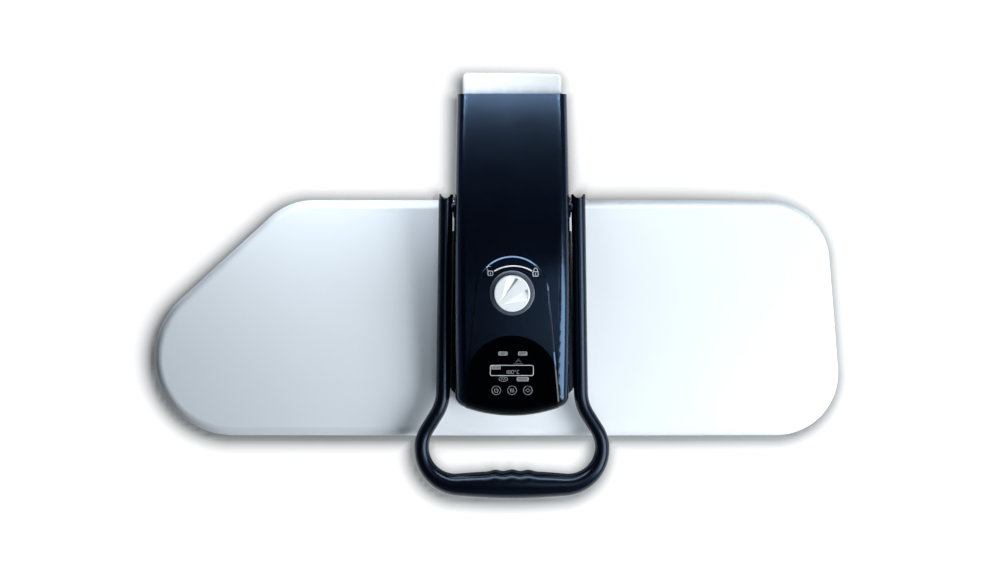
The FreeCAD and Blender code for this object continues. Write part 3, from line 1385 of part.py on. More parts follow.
def water_hose():
    """Hose from the dock, over the handle shaft, to the pump."""
    y = dock_middle()
    low = Vector(0, y, Z_DECK + DOCK_HEIGHT + SEAT_GAP)
    level = hose_level()
    start = Vector(0, y, level - HOSE_BEND)
    bend = math.sqrt(0.5) * HOSE_BEND
    middle = Vector(0, y - HOSE_BEND + bend, level - HOSE_BEND + bend)
    end = Vector(0, y - HOSE_BEND, level)
    path = Part.Wire([
        Part.LineSegment(low, start).toShape(),
        Part.Arc(start, middle, end).toShape(),
        Part.LineSegment(end, Vector(0, pump_rear() + SEAT_GAP, level)).toShape(),
    ])

    def tube(radius):
        section = Part.Wire([Part.makeCircle(radius, low, Vector(0, 0, 1))])
        return path.makePipeShell([section], True, False)
    return tube(HOSE_RADIUS).cut(tube(HOSE_BORE))


def pump():
    """Vibration pump slung under the roof, its saddle shaped to the shell."""
    z = pump_axis_z()
    half = PUMP_LENGTH / 2
    barrel = rod_x(PUMP_Y, z, PUMP_RADIUS, -half, half)
    neck = rod_y(0, hose_level(), HOSE_RADIUS, PUMP_Y, pump_rear())
    nipple = rod_y(0, hose_level(), NIPPLE_RADIUS, PUMP_Y, pump_rear() + NIPPLE_LENGTH)
    outlet = post(0, PUMP_Y, NIPPLE_RADIUS, z - PUMP_RADIUS - NIPPLE_LENGTH, z)
    saddle = block(
        -PUMP_SADDLE / 2, PUMP_SADDLE / 2,
        PUMP_Y - PUMP_SADDLE_DEPTH / 2, PUMP_Y + PUMP_SADDLE_DEPTH / 2,
        z, Z_CREST,
    )
    saddle = saddle.common(arm_form(ARM_WALL + SEAT_GAP, Z_DECK))
    return fuse(barrel, neck, nipple, outlet, saddle)


# Handle, drawn about the arm's middle line

def handle_runs():
    """Straight runs (length, 0) and bends (radius, turn in degrees) from the grip's middle to a tip."""
    flare = math.radians(FLARE_ANGLE)
    taper = math.radians(LEG_TAPER_ANGLE)
    corner_x = GRIP_HALF_RUN + LOOP_CORNER_RADIUS * math.cos(flare)
    corner_y = GRIP_Y + LOOP_CORNER_RADIUS * (1 + math.sin(flare))
    shift_x = FLARE_RADIUS * (math.cos(flare) - math.cos(taper))
    shift_y = FLARE_RADIUS * (math.sin(flare) - math.sin(taper))
    miss = LEG_X - corner_x - shift_x + (PIVOT_Y - corner_y - shift_y) * math.tan(taper)
    slant = miss / (math.cos(flare) * math.tan(taper) - math.sin(flare))
    leg_start = corner_y + slant * math.cos(flare) + shift_y
    leg = (PIVOT_Y + LEG_TIP - leg_start) / math.cos(taper)
    return [
        (GRIP_HALF_RUN, 0),
        (LOOP_CORNER_RADIUS, 90 + FLARE_ANGLE),
        (slant, 0),
        (FLARE_RADIUS, LEG_TAPER_ANGLE - FLARE_ANGLE),
        (leg, 0),
    ]


def walk_handle(distance):
    """Point and heading on the right half of the handle's middle line."""
    point = Vector(0, GRIP_Y, 0)
    heading = 0.0
    for size, turn in handle_runs():
        length = size if turn == 0 else size * math.radians(abs(turn))
        step = min(distance, length)
        if turn == 0:
            point = point + Vector(step * math.cos(heading), step * math.sin(heading), 0)
        else:
            side = math.copysign(1, turn)
            centre = point + Vector(-side * size * math.sin(heading), side * size * math.cos(heading), 0)
            heading += side * step / size
            point = centre + Vector(side * size * math.sin(heading), -side * size * math.cos(heading), 0)
        distance -= step
        if distance <= 0:
            break
    return point, heading


def handle_slope():
    return (PIVOT_Z - GRIP_Z) / (PIVOT_Y - GRIP_Y)


def handle_height(y):
    """Height of the handle's middle plane, which holds the pivot axis and the grip's line."""
    return GRIP_Z + (y - GRIP_Y) * handle_slope()


def handle_section(distance, side):
    """Frame of the loop's oval: swollen at the grip, with finger bumps on its inner side."""
    point, heading = walk_handle(distance)
    swell = 0.5 * (1 + math.cos(math.pi * min(distance / GRIP_SWELL_LENGTH, 1)))
    width = LEG_WIDTH + (GRIP_WIDTH - LEG_WIDTH) * swell
    height = LEG_HEIGHT + (GRIP_HEIGHT - LEG_HEIGHT) * swell
    bump = 0.0
    if distance < 1.5 * GRIP_BUMP_PITCH:
        bump = GRIP_BUMP_HEIGHT * math.cos(math.pi * distance / GRIP_BUMP_PITCH) ** 2
    inward = Vector(-math.sin(heading), math.cos(heading), math.cos(heading) * handle_slope())
    point.z = handle_height(point.y)
    centre = point + inward * (bump / 2)
    half = (width + bump) / 2
    return Matrix(
        side * inward.x * half, 0, 0, side * centre.x,
        inward.y * half, 0, 0, centre.y,
        inward.z * half, height / 2, 1, centre.z,
        0, 0, 0, 1,
    )


def handle_length():
    return sum(size if turn == 0 else size * math.radians(abs(turn)) for size, turn in handle_runs())


def half_oval(place, side):
    """Points over the upper (1) or lower (-1) half of an oval, from its inner to its outer side."""
    points = []
    for number in range(OVAL_STEPS + 1):
        angle = math.pi * number / OVAL_STEPS
        points.append(place.multVec(Vector(math.cos(angle), side * math.sin(angle), 0)))
    return points


def handle_half_form(side):
    """Half of the loop: one smooth skin over all sections, closed along the parting plane."""
    length = handle_length()
    count = math.ceil(length / (GRIP_BUMP_PITCH / 4))
    stations = [length * number / count for number in range(1, count + 1)]
    rows = [half_oval(handle_section(distance, -1), side) for distance in reversed(stations)]
    rows.append(half_oval(handle_section(0.0, 1), side))
    rows += [half_oval(handle_section(distance, 1), side) for distance in stations]
    surface = Part.BSplineSurface()
    surface.interpolate(rows)
    skin = surface.toShape()
    rails = [edge for edge in skin.Edges if edge.Length > length]
    ends = [edge for edge in skin.Edges if edge.Length < length]
    chords = [Part.LineSegment(end.Vertexes[0].Point, end.Vertexes[-1].Point).toShape() for end in ends]
    parting = Part.makeRuledSurface(rails[0], rails[1])
    caps = [Part.Face(Part.Wire(Part.__sortEdges__([end, chord]))) for end, chord in zip(ends, chords)]
    shell = Part.Shell([skin, parting] + caps)
    shell.sewShape()
    return Part.Solid(shell)


def handle_core_form(radius, stop):
    """Bent bar along the loop's middle line that stops short of the pivot."""
    edges = []
    distance = 0.0
    for size, turn in handle_runs():
        length = size if turn == 0 else size * math.radians(abs(turn))
        end = min(distance + length, stop)
        points = [walk_handle(distance + (end - distance) * share)[0] for share in (0, 0.5, 1)]
        for point in points:
            point.z = handle_height(point.y)
        if turn == 0:
            edges.append(Part.LineSegment(points[0], points[2]).toShape())
        else:
            edges.append(Part.Arc(*points).toShape())
        distance = end
    path = Part.Wire(edges)
    section = Part.Wire([Part.makeCircle(radius, Vector(0, GRIP_Y, GRIP_Z), Vector(1, 0, 0))])
    half = path.makePipeShell([section], True, False)
    return fuse(*both_sides(half))


def core_stop():
    return handle_length() - LEG_TIP - SHAFT_RADIUS - 2 * BUSH_WALL


def shaft_reach():
    return LEG_X + SHAFT_IN_LEG


def handle_half(side):
    """Upper (1) or lower (-1) moulding of the loop, with its bores and the notch in each tip."""
    half = handle_half_form(side)
    tip_x = walk_handle(handle_length())[0].x
    notch_y = PIVOT_Y + LEG_TIP - TIP_NOTCH_DEPTH + TIP_NOTCH_RADIUS
    notch = post(tip_x, notch_y, TIP_NOTCH_RADIUS, PIVOT_Z - LEG_HEIGHT, PIVOT_Z + LEG_HEIGHT)
    reach = shaft_reach() + SEAT_GAP
    bore = rod_x(PIVOT_Y, PIVOT_Z, SHAFT_RADIUS + RUN_FIT, -reach, reach)
    core = handle_core_form(CORE_RADIUS + SEAT_GAP, core_stop() + SEAT_GAP)
    return half.cut(both_sides(notch) + [bore, core])


def handle_core():
    return handle_core_form(CORE_RADIUS, core_stop())


def handle_shaft():
    return rod_x(PIVOT_Y, PIVOT_Z, SHAFT_RADIUS, -shaft_reach(), shaft_reach())


def cam_point(angle):
    """Point of the cam's involute face, which lets a flat follower rise evenly as it turns."""
    support = CAM_SUPPORT - LIFT_PER_RADIAN * angle
    y = support * math.sin(angle) - LIFT_PER_RADIAN * math.cos(angle)
    z = -support * math.cos(angle) - LIFT_PER_RADIAN * math.sin(angle)
    return Vector(0, PIVOT_Y + y, PIVOT_Z + z)


def pressure_cams():
    overrun = math.radians(CAM_OVERRUN)
    swing = math.radians(HANDLE_SWING)
    stride = (swing + 2 * overrun) / CAM_STEPS
    angles = [-overrun + stride * step for step in range(CAM_STEPS + 1)]
    points = [cam_point(angle) for angle in angles]
    curve = Part.BSplineCurve()
    curve.interpolate(points)
    centre = Vector(0, PIVOT_Y, PIVOT_Z)
    outline = Part.Wire([
        curve.toShape(),
        Part.LineSegment(points[-1], centre).toShape(),
        Part.LineSegment(centre, points[0]).toShape(),
    ])
    lobe = Part.Face(outline).extrude(Vector(CAM_THICKNESS, 0, 0))
    lobe.translate(Vector(CAM_SPREAD - CAM_THICKNESS / 2, 0, 0))
    near = CAM_SPREAD - CAM_THICKNESS / 2
    hub = rod_x(PIVOT_Y, PIVOT_Z, CAM_HUB_RADIUS, near, near + CAM_THICKNESS)
    cam = fuse(lobe, hub).cut(rod_x(PIVOT_Y, PIVOT_Z, SHAFT_RADIUS + RUN_FIT, 0, 2 * CAM_SPREAD))
    return Part.makeCompound(both_sides(cam))


def main():
    at_plate = Vector(0, -Y_MIDDLE, 0)
    at_arm = Vector(ARM_X, -Y_MIDDLE, 0)
    about_plate = {
        "plate_cover": plate_cover(),
        "sole_plate": sole_plate(),
        "plate_gasket": plate_gasket(),
        "steam_chamber": steam_chamber(),
        "heating_element": heating_element(),
        "heat_shield": heat_shield(),
        "thermostat": thermostat(),
        "guide_studs": guide_studs(),
        "return_springs": return_springs(),
        "pressure_yoke": pressure_yoke(),
        "feed_hose": feed_hose(),
        "board_tray": board_tray(),
        "board_pad": board_pad(),
        "board_cloth": board_cloth(),
        "board_posts": board_posts(),
    }
    about_arm = {
        "base_pan": base_pan(),
        "base_cover": base_cover(),
        "hinge_bracket": hinge_bracket(),
        "hinge_pin": hinge_pin(),
        "lift_springs": lift_springs(),
        "feet": feet(),
        "cord_gland": cord_gland(),
        "arm_cover": arm_cover(),
        "arm_tray": arm_tray(),
        "arm_frame": arm_frame(),
        "hinge_bushes": hinge_bushes(),
        "pivot_bushes": pivot_bushes(),
        "guide_bushes": guide_bushes(),
        "fascia": fascia(),
        "display_lens": display_lens(),
        "knob_bezel": knob_bezel(),
        "control_board": control_board(),
        "lcd_module": lcd_module(),
        "indicator_lamps": indicator_lamps(),
        "switch_block": switch_block(),
        "pump": pump(),
        "tank_dock": tank_dock(),
        "water_hose": water_hose(),
        "lock_knob": lock_knob(),
        "lock_spindle": lock_spindle(),
        "lock_cam": lock_cam(),
        "button_left": button(-1),
        "button_middle": button(0),
        "button_right": button(1),
        "water_tank": water_tank(),
        "tank_cap": tank_cap(),
        "tank_valve": tank_valve(),
        "handle_upper": handle_half(1),
        "handle_lower": handle_half(-1),
        "handle_core": handle_core(),
        "handle_shaft": handle_shaft(),
        "pressure_cams": pressure_cams(),
    }
    os.makedirs("parts", exist_ok=True)
    for pieces, shift in ((about_plate, at_plate), (about_arm, at_arm)):
        for name, shape in pieces.items():
            shape.translate(shift)
            shape.exportStep(os.path.join("parts", name + ".step"))
            print(name, len(shape.Solids), "solids", round(shape.Volume), "mm3", shape.isValid())


if __name__ == "__main__":
    main()
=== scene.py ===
# %% [markdown]
# # A steam ironing press, seen from above
#
# The press is closed. A long white heating plate lies on a padded board, a dark arm reaches over it from
# the hinge at the rear, and a looped handle presses the plate down. The solid pieces come ready made, in
# metres, with X along the plate, Y towards the hinge and Z up. This lesson gives each of them its finish,
# sews the soft board, prints the marks on the controls and sets up the studio.

# %% Load the press
import json
import math

import bmesh
import bpy
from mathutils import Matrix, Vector
from mathutils.bvhtree import BVHTree


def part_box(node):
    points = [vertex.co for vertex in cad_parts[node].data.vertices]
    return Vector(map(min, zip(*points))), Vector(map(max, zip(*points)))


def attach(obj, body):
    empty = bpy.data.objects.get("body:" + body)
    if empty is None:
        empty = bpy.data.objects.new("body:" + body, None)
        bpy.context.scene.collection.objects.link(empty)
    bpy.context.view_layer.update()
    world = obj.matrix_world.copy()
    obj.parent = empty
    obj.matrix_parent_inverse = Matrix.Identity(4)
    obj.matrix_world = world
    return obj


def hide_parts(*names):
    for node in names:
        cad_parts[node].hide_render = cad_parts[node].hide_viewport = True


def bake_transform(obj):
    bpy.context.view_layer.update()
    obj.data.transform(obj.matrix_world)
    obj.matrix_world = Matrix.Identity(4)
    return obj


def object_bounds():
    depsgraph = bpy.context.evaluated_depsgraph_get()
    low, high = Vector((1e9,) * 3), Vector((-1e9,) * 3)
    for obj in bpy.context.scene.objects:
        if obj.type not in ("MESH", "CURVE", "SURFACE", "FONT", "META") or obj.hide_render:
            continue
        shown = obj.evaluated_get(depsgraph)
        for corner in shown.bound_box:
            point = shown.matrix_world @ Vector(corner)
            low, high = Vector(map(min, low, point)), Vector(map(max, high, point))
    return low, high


MM = 0.001
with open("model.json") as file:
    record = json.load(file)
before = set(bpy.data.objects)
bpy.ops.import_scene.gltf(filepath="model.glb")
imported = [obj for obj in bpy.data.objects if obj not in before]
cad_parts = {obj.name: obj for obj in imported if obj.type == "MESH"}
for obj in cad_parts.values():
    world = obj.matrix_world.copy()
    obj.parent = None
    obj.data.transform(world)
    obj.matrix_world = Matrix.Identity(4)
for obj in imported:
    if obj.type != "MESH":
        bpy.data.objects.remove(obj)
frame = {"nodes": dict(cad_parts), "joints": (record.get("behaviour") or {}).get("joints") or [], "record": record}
solid_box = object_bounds()
nodes = frame["nodes"]
joints = {joint["name"]: joint for joint in frame["joints"]}
print(len(nodes), "pieces; the press measures", [round(side, 3) for side in solid_box[1] - solid_box[0]], "m")

# %% [markdown]
# ## The camera
#
# The picture was taken from straight above, so the camera looks down with the rear of the press at the
# top. A long lens, about two metres up, keeps the sides of the arm almost out of sight. Its focal length
# follows from how wide a strip of the plate the picture shows.

# %% Camera
LENS_TO_PLATE = 2.2
SEEN_WIDTH = 0.929
PICTURE_MIDDLE = (0.0033, 0.0058)
SENSOR_WIDTH = 36.0


def hang_camera():
    data = bpy.data.cameras.new("camera")
    data.sensor_width = SENSOR_WIDTH
    data.lens = SENSOR_WIDTH * LENS_TO_PLATE / SEEN_WIDTH
    camera = bpy.data.objects.new("camera", data)
    camera.location = (*PICTURE_MIDDLE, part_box("plate_cover")[1].z + LENS_TO_PLATE)
    bpy.context.scene.collection.objects.link(camera)
    bpy.context.scene.camera = camera
    return data


print("lens of", round(hang_camera().lens, 1), "mm")

# %% [markdown]
# ## Wiring shaders with Python
#
# A finish is a web of nodes, and wiring it by hand hides the idea behind the links. Here a small class
# holds one output socket, and the usual operators on it add Math nodes, so that `1 - mask` means what it
# says. A second class holds the tree and has one method that can add any node: its settings go in first,
# then the values or links of its sockets.

# %% Signals and benches
class Signal:
    """An output socket on which Python's operators add Math nodes."""

    def __init__(self, bench, socket):
        self.bench = bench
        self.socket = socket

    def maths(self, operation, *values):
        return self.bench.node("ShaderNodeMath", {"operation": operation}, dict(enumerate(values)))

    def __add__(self, other):
        return self.maths("ADD", self, other)

    def __radd__(self, other):
        return self.maths("ADD", other, self)

    def __sub__(self, other):
        return self.maths("SUBTRACT", self, other)

    def __rsub__(self, other):
        return self.maths("SUBTRACT", other, self)

    def __mul__(self, other):
        return self.maths("MULTIPLY", self, other)

    def __rmul__(self, other):
        return self.maths("MULTIPLY", other, self)

    def __pow__(self, other):
        return self.maths("POWER", self, other)

    def sine(self):
        return self.maths("SINE", self)

    def size(self):
        return self.maths("ABSOLUTE", self)

    def larger(self, other):
        return self.maths("MAXIMUM", self, other)

    def smaller(self, other):
        return self.maths("MINIMUM", self, other)

    def ramp(self, low, high, first=0.0, last=1.0):
        """Straight ramp from first at low to last at high, held level outside."""
        sockets = {"Value": self, "From Min": low, "From Max": high, "To Min": first, "To Max": last}
        return self.bench.node("ShaderNodeMapRange", {"clamp": True}, sockets)


class Bench:
    """A node tree being wired."""

    def __init__(self, tree):
        self.tree = tree

    def node(self, kind, settings=None, sockets=None, out=0):
        made = self.tree.nodes.new(kind)
        for name, value in (settings or {}).items():
            setattr(made, name, value)
        for name, value in (sockets or {}).items():
            self.feed(made.inputs[name], value)
        return Signal(self, made.outputs[out])

    def feed(self, socket, value):
        if isinstance(value, Signal):
            self.tree.links.new(value.socket, socket)
        else:
            socket.default_value = value

    def mix(self, share, first, second):
        """Colour that goes from first to second as share goes from 0 to 1."""
        return self.node("ShaderNodeMix", {"data_type": "RGBA"}, {0: share, 6: first, 7: second}, out=2)


class Finish(Bench):
    """A material on the bench: a Principled shader fed from patterns in the press's own metres."""

    def __init__(self, name):
        self.material = bpy.data.materials.new(name)
        self.material.use_nodes = True
        super().__init__(self.material.node_tree)
        self.shader = self.tree.nodes["Principled BSDF"]
        self.place = self.node("ShaderNodeTexCoord", out="Object")
        apart = self.tree.nodes.new("ShaderNodeSeparateXYZ")
        self.feed(apart.inputs[0], self.place)
        self.x, self.y, self.z = [Signal(self, socket) for socket in apart.outputs]

    def noise(self, per_metre, detail=2.0, along=None):
        where = self.place
        if along:
            where = self.node("ShaderNodeVectorMath", {"operation": "MULTIPLY"}, {0: self.place, 1: along})
        return self.node("ShaderNodeTexNoise", None, {"Vector": where, "Scale": per_metre, "Detail": detail})

    def bump(self, height, depth):
        return self.node("ShaderNodeBump", None, {"Height": height, "Distance": depth}, out="Normal")

    def surface(self, **values):
        sockets = {socket.name.lower().replace(" ", "_"): socket for socket in self.shader.inputs}
        for name, value in values.items():
            self.feed(sockets[name], value)
        return self.material


def shade(red, green, blue):
    return (red, green, blue, 1.0)


print("bench ready")

# %% [markdown]
# ## Studio
#
# The press stands on a white light table: the floor glows, so it stays white however the lamps fall. Under
# the press and for a finger's breadth round it the glow is cut back in the shape of a painted shadow, and
# there the floor shows its own shading over the dim glow that is left: the narrow dark rim that ties the
# press to the ground is painted shadow laid over that real shading. To find its shape, geometry nodes
# flatten the overhanging pieces onto the floor from a point high above, as a lamp there would throw them,
# though no lamp stands there, and each point of the floor stores how far it lies from that painted shadow.
# A modifier works that out afresh whenever the press moves, so the painted shadow follows the arm. The sky
# is pale all round and dark overhead, as in a studio where the camera hangs under a black ceiling: that
# dark patch keeps the top of the glossy arm nearly black.

# %% Floor and sky
FLOOR_SIDE = 8.0
FLOOR_CELL = 0.005
MASK_REACH = 0.06
MASK_WIDTH = 0.024
SHADOW_PAINT_POINT = Vector((0.05, 0.06, 2.3))
PAINTED_SHADOW_GLOW = 0.07
SHADOW_PIECES = ("plate_cover", "handle_upper", "arm_cover", "water_tank", "board_pad", "base_pan")
FLOOR_GLOW = 0.97
SKY_LEVEL = 0.2
CEILING_LEVEL = 0.005
CEILING_EDGE = (0.4, 0.75)
SKY_TINT = (0.6, 0.8, 1.0)


def seen_directly(bench):
    """1 for camera, mirror and glass rays, 0 for the light that falls on the press."""
    kinds = ("Is Camera Ray", "Is Glossy Ray", "Is Transmission Ray")
    rays = [bench.node("ShaderNodeLightPath", out=kind) for kind in kinds]
    return rays[0].larger(rays[1]).larger(rays[2])


def flattened(bench, rim):
    """Place on the floor where a point lands when projected from the painted shadow's point high above, which is
    no lamp, with no point taken as above the rim.
    """
    place = bench.node("GeometryNodeInputPosition")
    x, y, z = [bench.node("ShaderNodeSeparateXYZ", None, {0: place}, out=axis) for axis in "XYZ"]
    spread = (SHADOW_PAINT_POINT.z - z.smaller(rim)) ** -1 * SHADOW_PAINT_POINT.z
    across = SHADOW_PAINT_POINT.x + (x - SHADOW_PAINT_POINT.x) * spread
    along = SHADOW_PAINT_POINT.y + (y - SHADOW_PAINT_POINT.y) * spread
    return bench.node("ShaderNodeCombineXYZ", None, {"X": across, "Y": along})


def thrown_shadow():
    """Node group that stores, at each point of the floor, the distance from the painted shadow of the press."""
    tree = bpy.data.node_groups.new("thrown_shadow", "GeometryNodeTree")
    for way in ("INPUT", "OUTPUT"):
        tree.interface.new_socket("Geometry", in_out=way, socket_type="NodeSocketGeometry")
    bench = Bench(tree)
    pieces = tree.nodes.new("GeometryNodeJoinGeometry")
    for name in SHADOW_PIECES:
        settings = {"transform_space": "RELATIVE"}
        solid = bench.node("GeometryNodeObjectInfo", settings, {"Object": nodes[name]}, out="Geometry")
        tree.links.new(solid.socket, pieces.inputs[0])
    spots = flattened(bench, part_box("plate_cover")[1].z)
    sockets = {0: Signal(bench, pieces.outputs[0]), "Position": spots}
    shadow = bench.node("GeometryNodeSetPosition", None, sockets)
    away = bench.node("GeometryNodeProximity", {"target_element": "FACES"}, {0: shadow}, out="Distance")
    sockets = {"Geometry": bench.node("NodeGroupInput"), "Name": "away", "Value": away}
    stored = bench.node("GeometryNodeStoreNamedAttribute", {"data_type": "FLOAT"}, sockets)
    bench.feed(tree.nodes.new("NodeGroupOutput").inputs[0], stored)
    return tree


def floor_lines(low, high):
    """Places of grid lines: close together round the press, and one at each far edge."""
    start = low - MASK_REACH
    count = math.ceil((high - low + 2 * MASK_REACH) / FLOOR_CELL)
    return [-FLOOR_SIDE / 2, *[start + number * FLOOR_CELL for number in range(count + 1)], FLOOR_SIDE / 2]


def floor_mesh():
    across = floor_lines(solid_box[0].x, solid_box[1].x)
    along = floor_lines(solid_box[0].y, solid_box[1].y)
    corners = [(x, y, 0.0) for y in along for x in across]
    wide = len(across)
    starts = [row * wide + column for row in range(len(along) - 1) for column in range(wide - 1)]
    mesh = bpy.data.meshes.new("studio_floor")
    mesh.from_pydata(corners, [], [(start, start + 1, start + wide + 1, start + wide) for start in starts])
    return mesh


def lay_floor():
    finish = Finish("studio_floor")
    dust = finish.noise(3.0)
    tone = finish.mix(dust, shade(0.25, 0.25, 0.25), shade(0.28, 0.28, 0.28))
    finish.surface(base_color=tone, roughness=0.9, specular_ior_level=0.0)
    away = finish.node("ShaderNodeAttribute", {"attribute_name": "away"}, out="Fac")
    # Painted shadow: the glow drops to a dim level inside the flattened outline of the press and rises again over
    # MASK_WIDTH beyond it.
    share = 1 - away.ramp(0.0, MASK_WIDTH, 1.0, 0.0) ** 2
    level = finish.mix(share, shade(*[PAINTED_SHADOW_GLOW] * 3), shade(*[FLOOR_GLOW] * 3))
    matt = Signal(finish, finish.shader.outputs[0])
    glow = finish.node("ShaderNodeEmission", None, {"Color": level})
    lit = finish.node("ShaderNodeAddShader", None, {0: matt, 1: glow})
    surface = finish.node("ShaderNodeMixShader", None, {0: seen_directly(finish), 1: matt, 2: lit})
    finish.feed(finish.tree.nodes["Material Output"].inputs["Surface"], surface)
    mesh = floor_mesh()
    mesh.materials.append(finish.material)
    floor = bpy.data.objects.new("studio_floor", mesh)
    bpy.context.scene.collection.objects.link(floor)
    floor.modifiers.new("Thrown shadow", "NODES").node_group = thrown_shadow()
    return floor


def hang_sky():
    world = bpy.data.worlds.new("studio_sky")
    bpy.context.scene.world = world
    world.use_nodes = True
    bench = Bench(world.node_tree)
    direction = bench.node("ShaderNodeTexCoord", out="Generated")
    up = bench.node("ShaderNodeSeparateXYZ", None, {0: direction}, out="Z")
    pale = shade(*[SKY_LEVEL * part for part in SKY_TINT])
    dark = shade(*[CEILING_LEVEL * part for part in SKY_TINT])
    backdrop = bench.node("ShaderNodeLightPath", out="Is Camera Ray")
    light = bench.mix(backdrop, bench.mix(up.ramp(*CEILING_EDGE), pale, dark), shade(1.0, 1.0, 1.0))
    bench.feed(world.node_tree.nodes["Background"].inputs["Color"], light)
    return world


print("stage:", lay_floor().name, hang_sky().name)

# %% [markdown]
# ## Lamps
#
# One broad softbox stands at the right and a little to the front. It is close, so the right half of the
# plate comes out almost white, the left half falls off to a cool grey, and the arm drops a soft shadow to
# the left. A long strip hangs behind the press for the arm to mirror, and is kept off matt faces. Two small
# boxes, low and close behind the plate, light its rear, the left one more strongly. A dim box high up at
# the front right gives the right half of the tongue its faint sheen. The last one has a grid in front of
# it, which keeps its light in a narrow beam: from the front it reaches only the grip and the plate between
# the legs of the handle, and it is kept out of mirrors, so that no bright spot shows in the lens.

# %% Softboxes
PALE = (0.9, 0.965, 1.0)
COOL = (0.84, 0.93, 1.0)
WHITE = (0.96, 0.98, 1.0)


def hang_softbox(name, place, aim, width, height, watts, color, spread=180.0):
    data = bpy.data.lights.new(name, "AREA")
    data.shape = "RECTANGLE"
    data.size = width
    data.size_y = height
    data.energy = watts
    data.color = color
    data.spread = math.radians(spread)
    lamp = bpy.data.objects.new(name, data)
    lamp.location = place
    lamp.rotation_euler = (Vector(aim) - Vector(place)).to_track_quat("-Z", "Y").to_euler()
    bpy.context.scene.collection.objects.link(lamp)
    return lamp


softboxes = [
    hang_softbox("key_box", (0.9, -0.42, 0.85), (0.0, 0.0, 0.13), 0.85, 0.85, 21.2, PALE),
    hang_softbox("rear_strip", (0.0, 0.66, 0.97), (0.0, 0.0, 0.13), 1.6, 0.24, 20.5, WHITE),
    hang_softbox("left_rear_box", (-0.13, 0.3, 0.26), (-0.16, 0.06, 0.13), 0.3, 0.1, 0.53, COOL, 120.0),
    hang_softbox("right_rear_box", (0.2, 0.3, 0.26), (0.2, 0.06, 0.13), 0.3, 0.1, 0.16, COOL, 120.0),
    hang_softbox("top_box", (0.29, -0.42, 1.6), (0.29, -0.42, 0.0), 0.36, 0.7, 1.5, COOL),
    hang_softbox("grid_box", (0.03, -0.95, 1.0), (0.03, -0.145, 0.13), 0.12, 0.12, 0.018, COOL, 12.0),
]
rear_strip, grid_box = softboxes[1], softboxes[-1]
rear_strip.visible_diffuse = False
grid_box.visible_glossy = False
print(len(softboxes), "softboxes")

# %% [markdown]
# ## Moulded plastics
#
# The shells are injection mouldings. Their colour is in the plastic, so it drifts only a little, and their
# gloss comes from the mould: polished for the arm, spark-eroded to a fine grain for the plate and the base.
# A slow noise moves the colour, a fine one sets the roughness and the bump.

# %% Shell plastics
def moulded(name, dark, light, roughness, grain_per_metre, grain_depth, shine=0.5, tint=(1.0, 1.0, 1.0)):
    """Plastic between two colours, with its roughness, its mould's grain, and how strongly it mirrors."""
    finish = Finish(name)
    drift = finish.noise(9.0)
    grain = finish.noise(grain_per_metre, 3.0)
    wipe = finish.noise(40.0, 4.0)
    return finish.surface(
        base_color=finish.mix(drift, shade(*dark), shade(*light)),
        roughness=roughness + 0.08 * (grain - 0.5) + 0.05 * (wipe - 0.5),
        normal=finish.bump(grain, grain_depth),
        specular_ior_level=shine,
        specular_tint=shade(*tint),
    )


NAVY_TINT = (0.38, 0.62, 1.0)
SATIN_TINT = (0.52, 0.7, 1.0)
GLOSSY_NAVY = (0.19, 900.0, 0.00001, 0.66, NAVY_TINT)
SATIN_NAVY = (0.24, 1500.0, 0.00002, 0.3, SATIN_TINT)
DULL_GLOSS = (0.22, 1800.0, 0.00001, 0.25)
PLASTICS = [
    ("white_plastic", "white_shell", (0.79, 0.81, 0.84), (0.83, 0.845, 0.87), 0.42, 2400.0, 0.00002),
    ("navy_plastic", "navy_shell", (0.0003, 0.0006, 0.003), (0.0005, 0.0009, 0.004), *GLOSSY_NAVY),
    ("handle_plastic", "handle_shell", (0.001, 0.0016, 0.0045), (0.0016, 0.0024, 0.006), *SATIN_NAVY),
    ("dark_plastic", "base_shell", (0.014, 0.016, 0.024), (0.02, 0.022, 0.032), 0.52, 1700.0, 0.00006),
    ("pale_plastic", "pale_moulding", (0.7, 0.71, 0.72), (0.77, 0.78, 0.78), 0.5, 1500.0, 0.00003),
    ("button_plastic", "button_caps", (0.0012, 0.0014, 0.0022), (0.0018, 0.002, 0.003), *DULL_GLOSS),
    ("bezel_satin", "satin_ring", (0.07, 0.08, 0.115), (0.085, 0.097, 0.135), 0.42, 1600.0, 0.00002),
]
finishes = {slot: moulded(*numbers) for slot, *numbers in PLASTICS}
print(len(finishes), "plastics")

# %% [markdown]
# ## Glass-like parts
#
# The lens over the display is polished smoked plastic: very smooth, almost black, with the faint smears
# that a fingertip leaves. The display below it is darker glass with a green cast, and the two lamps glow
# weakly through their caps. The water tank is frosted and nearly white. Beside the arm its colour is
# painted bluish grey, a painted shade where the arm's edge shades it, and a wave of the flutes' pitch
# leaves painted pale highlights down the flutes through that shade.

# %% Lens, display, lamps and tank
FLUTE_PITCH = 14 * MM
PAINTED_SHADE_DEPTH = 9 * MM


def smoked_lens():
    finish = Finish("smoked_lens")
    smear = finish.noise(60.0, 5.0, (1.0, 0.35, 1.0))
    tone = finish.mix(smear, shade(0.0002, 0.0003, 0.0008), shade(0.0006, 0.0007, 0.0014))
    gloss = 0.05 + 0.07 * smear.ramp(0.55, 0.8)
    return finish.surface(base_color=tone, roughness=gloss, specular_ior_level=0.25)


def display_glass():
    finish = Finish("display_glass")
    rows = (finish.y * (2 * math.pi / (0.5 * MM))).sine()
    columns = (finish.x * (2 * math.pi / (0.5 * MM))).sine()
    cell = rows.larger(columns).ramp(0.6, 0.95)
    tone = finish.mix(cell, shade(0.05, 0.07, 0.06), shade(0.03, 0.04, 0.035))
    return finish.surface(base_color=tone, roughness=0.12)


def lamp_cap():
    finish = Finish("lamp_cap")
    core = finish.noise(500.0)
    tone = finish.mix(core, shade(0.75, 0.22, 0.05), shade(0.9, 0.4, 0.12))
    return finish.surface(base_color=tone, emission_color=tone, emission_strength=0.2, roughness=0.25)


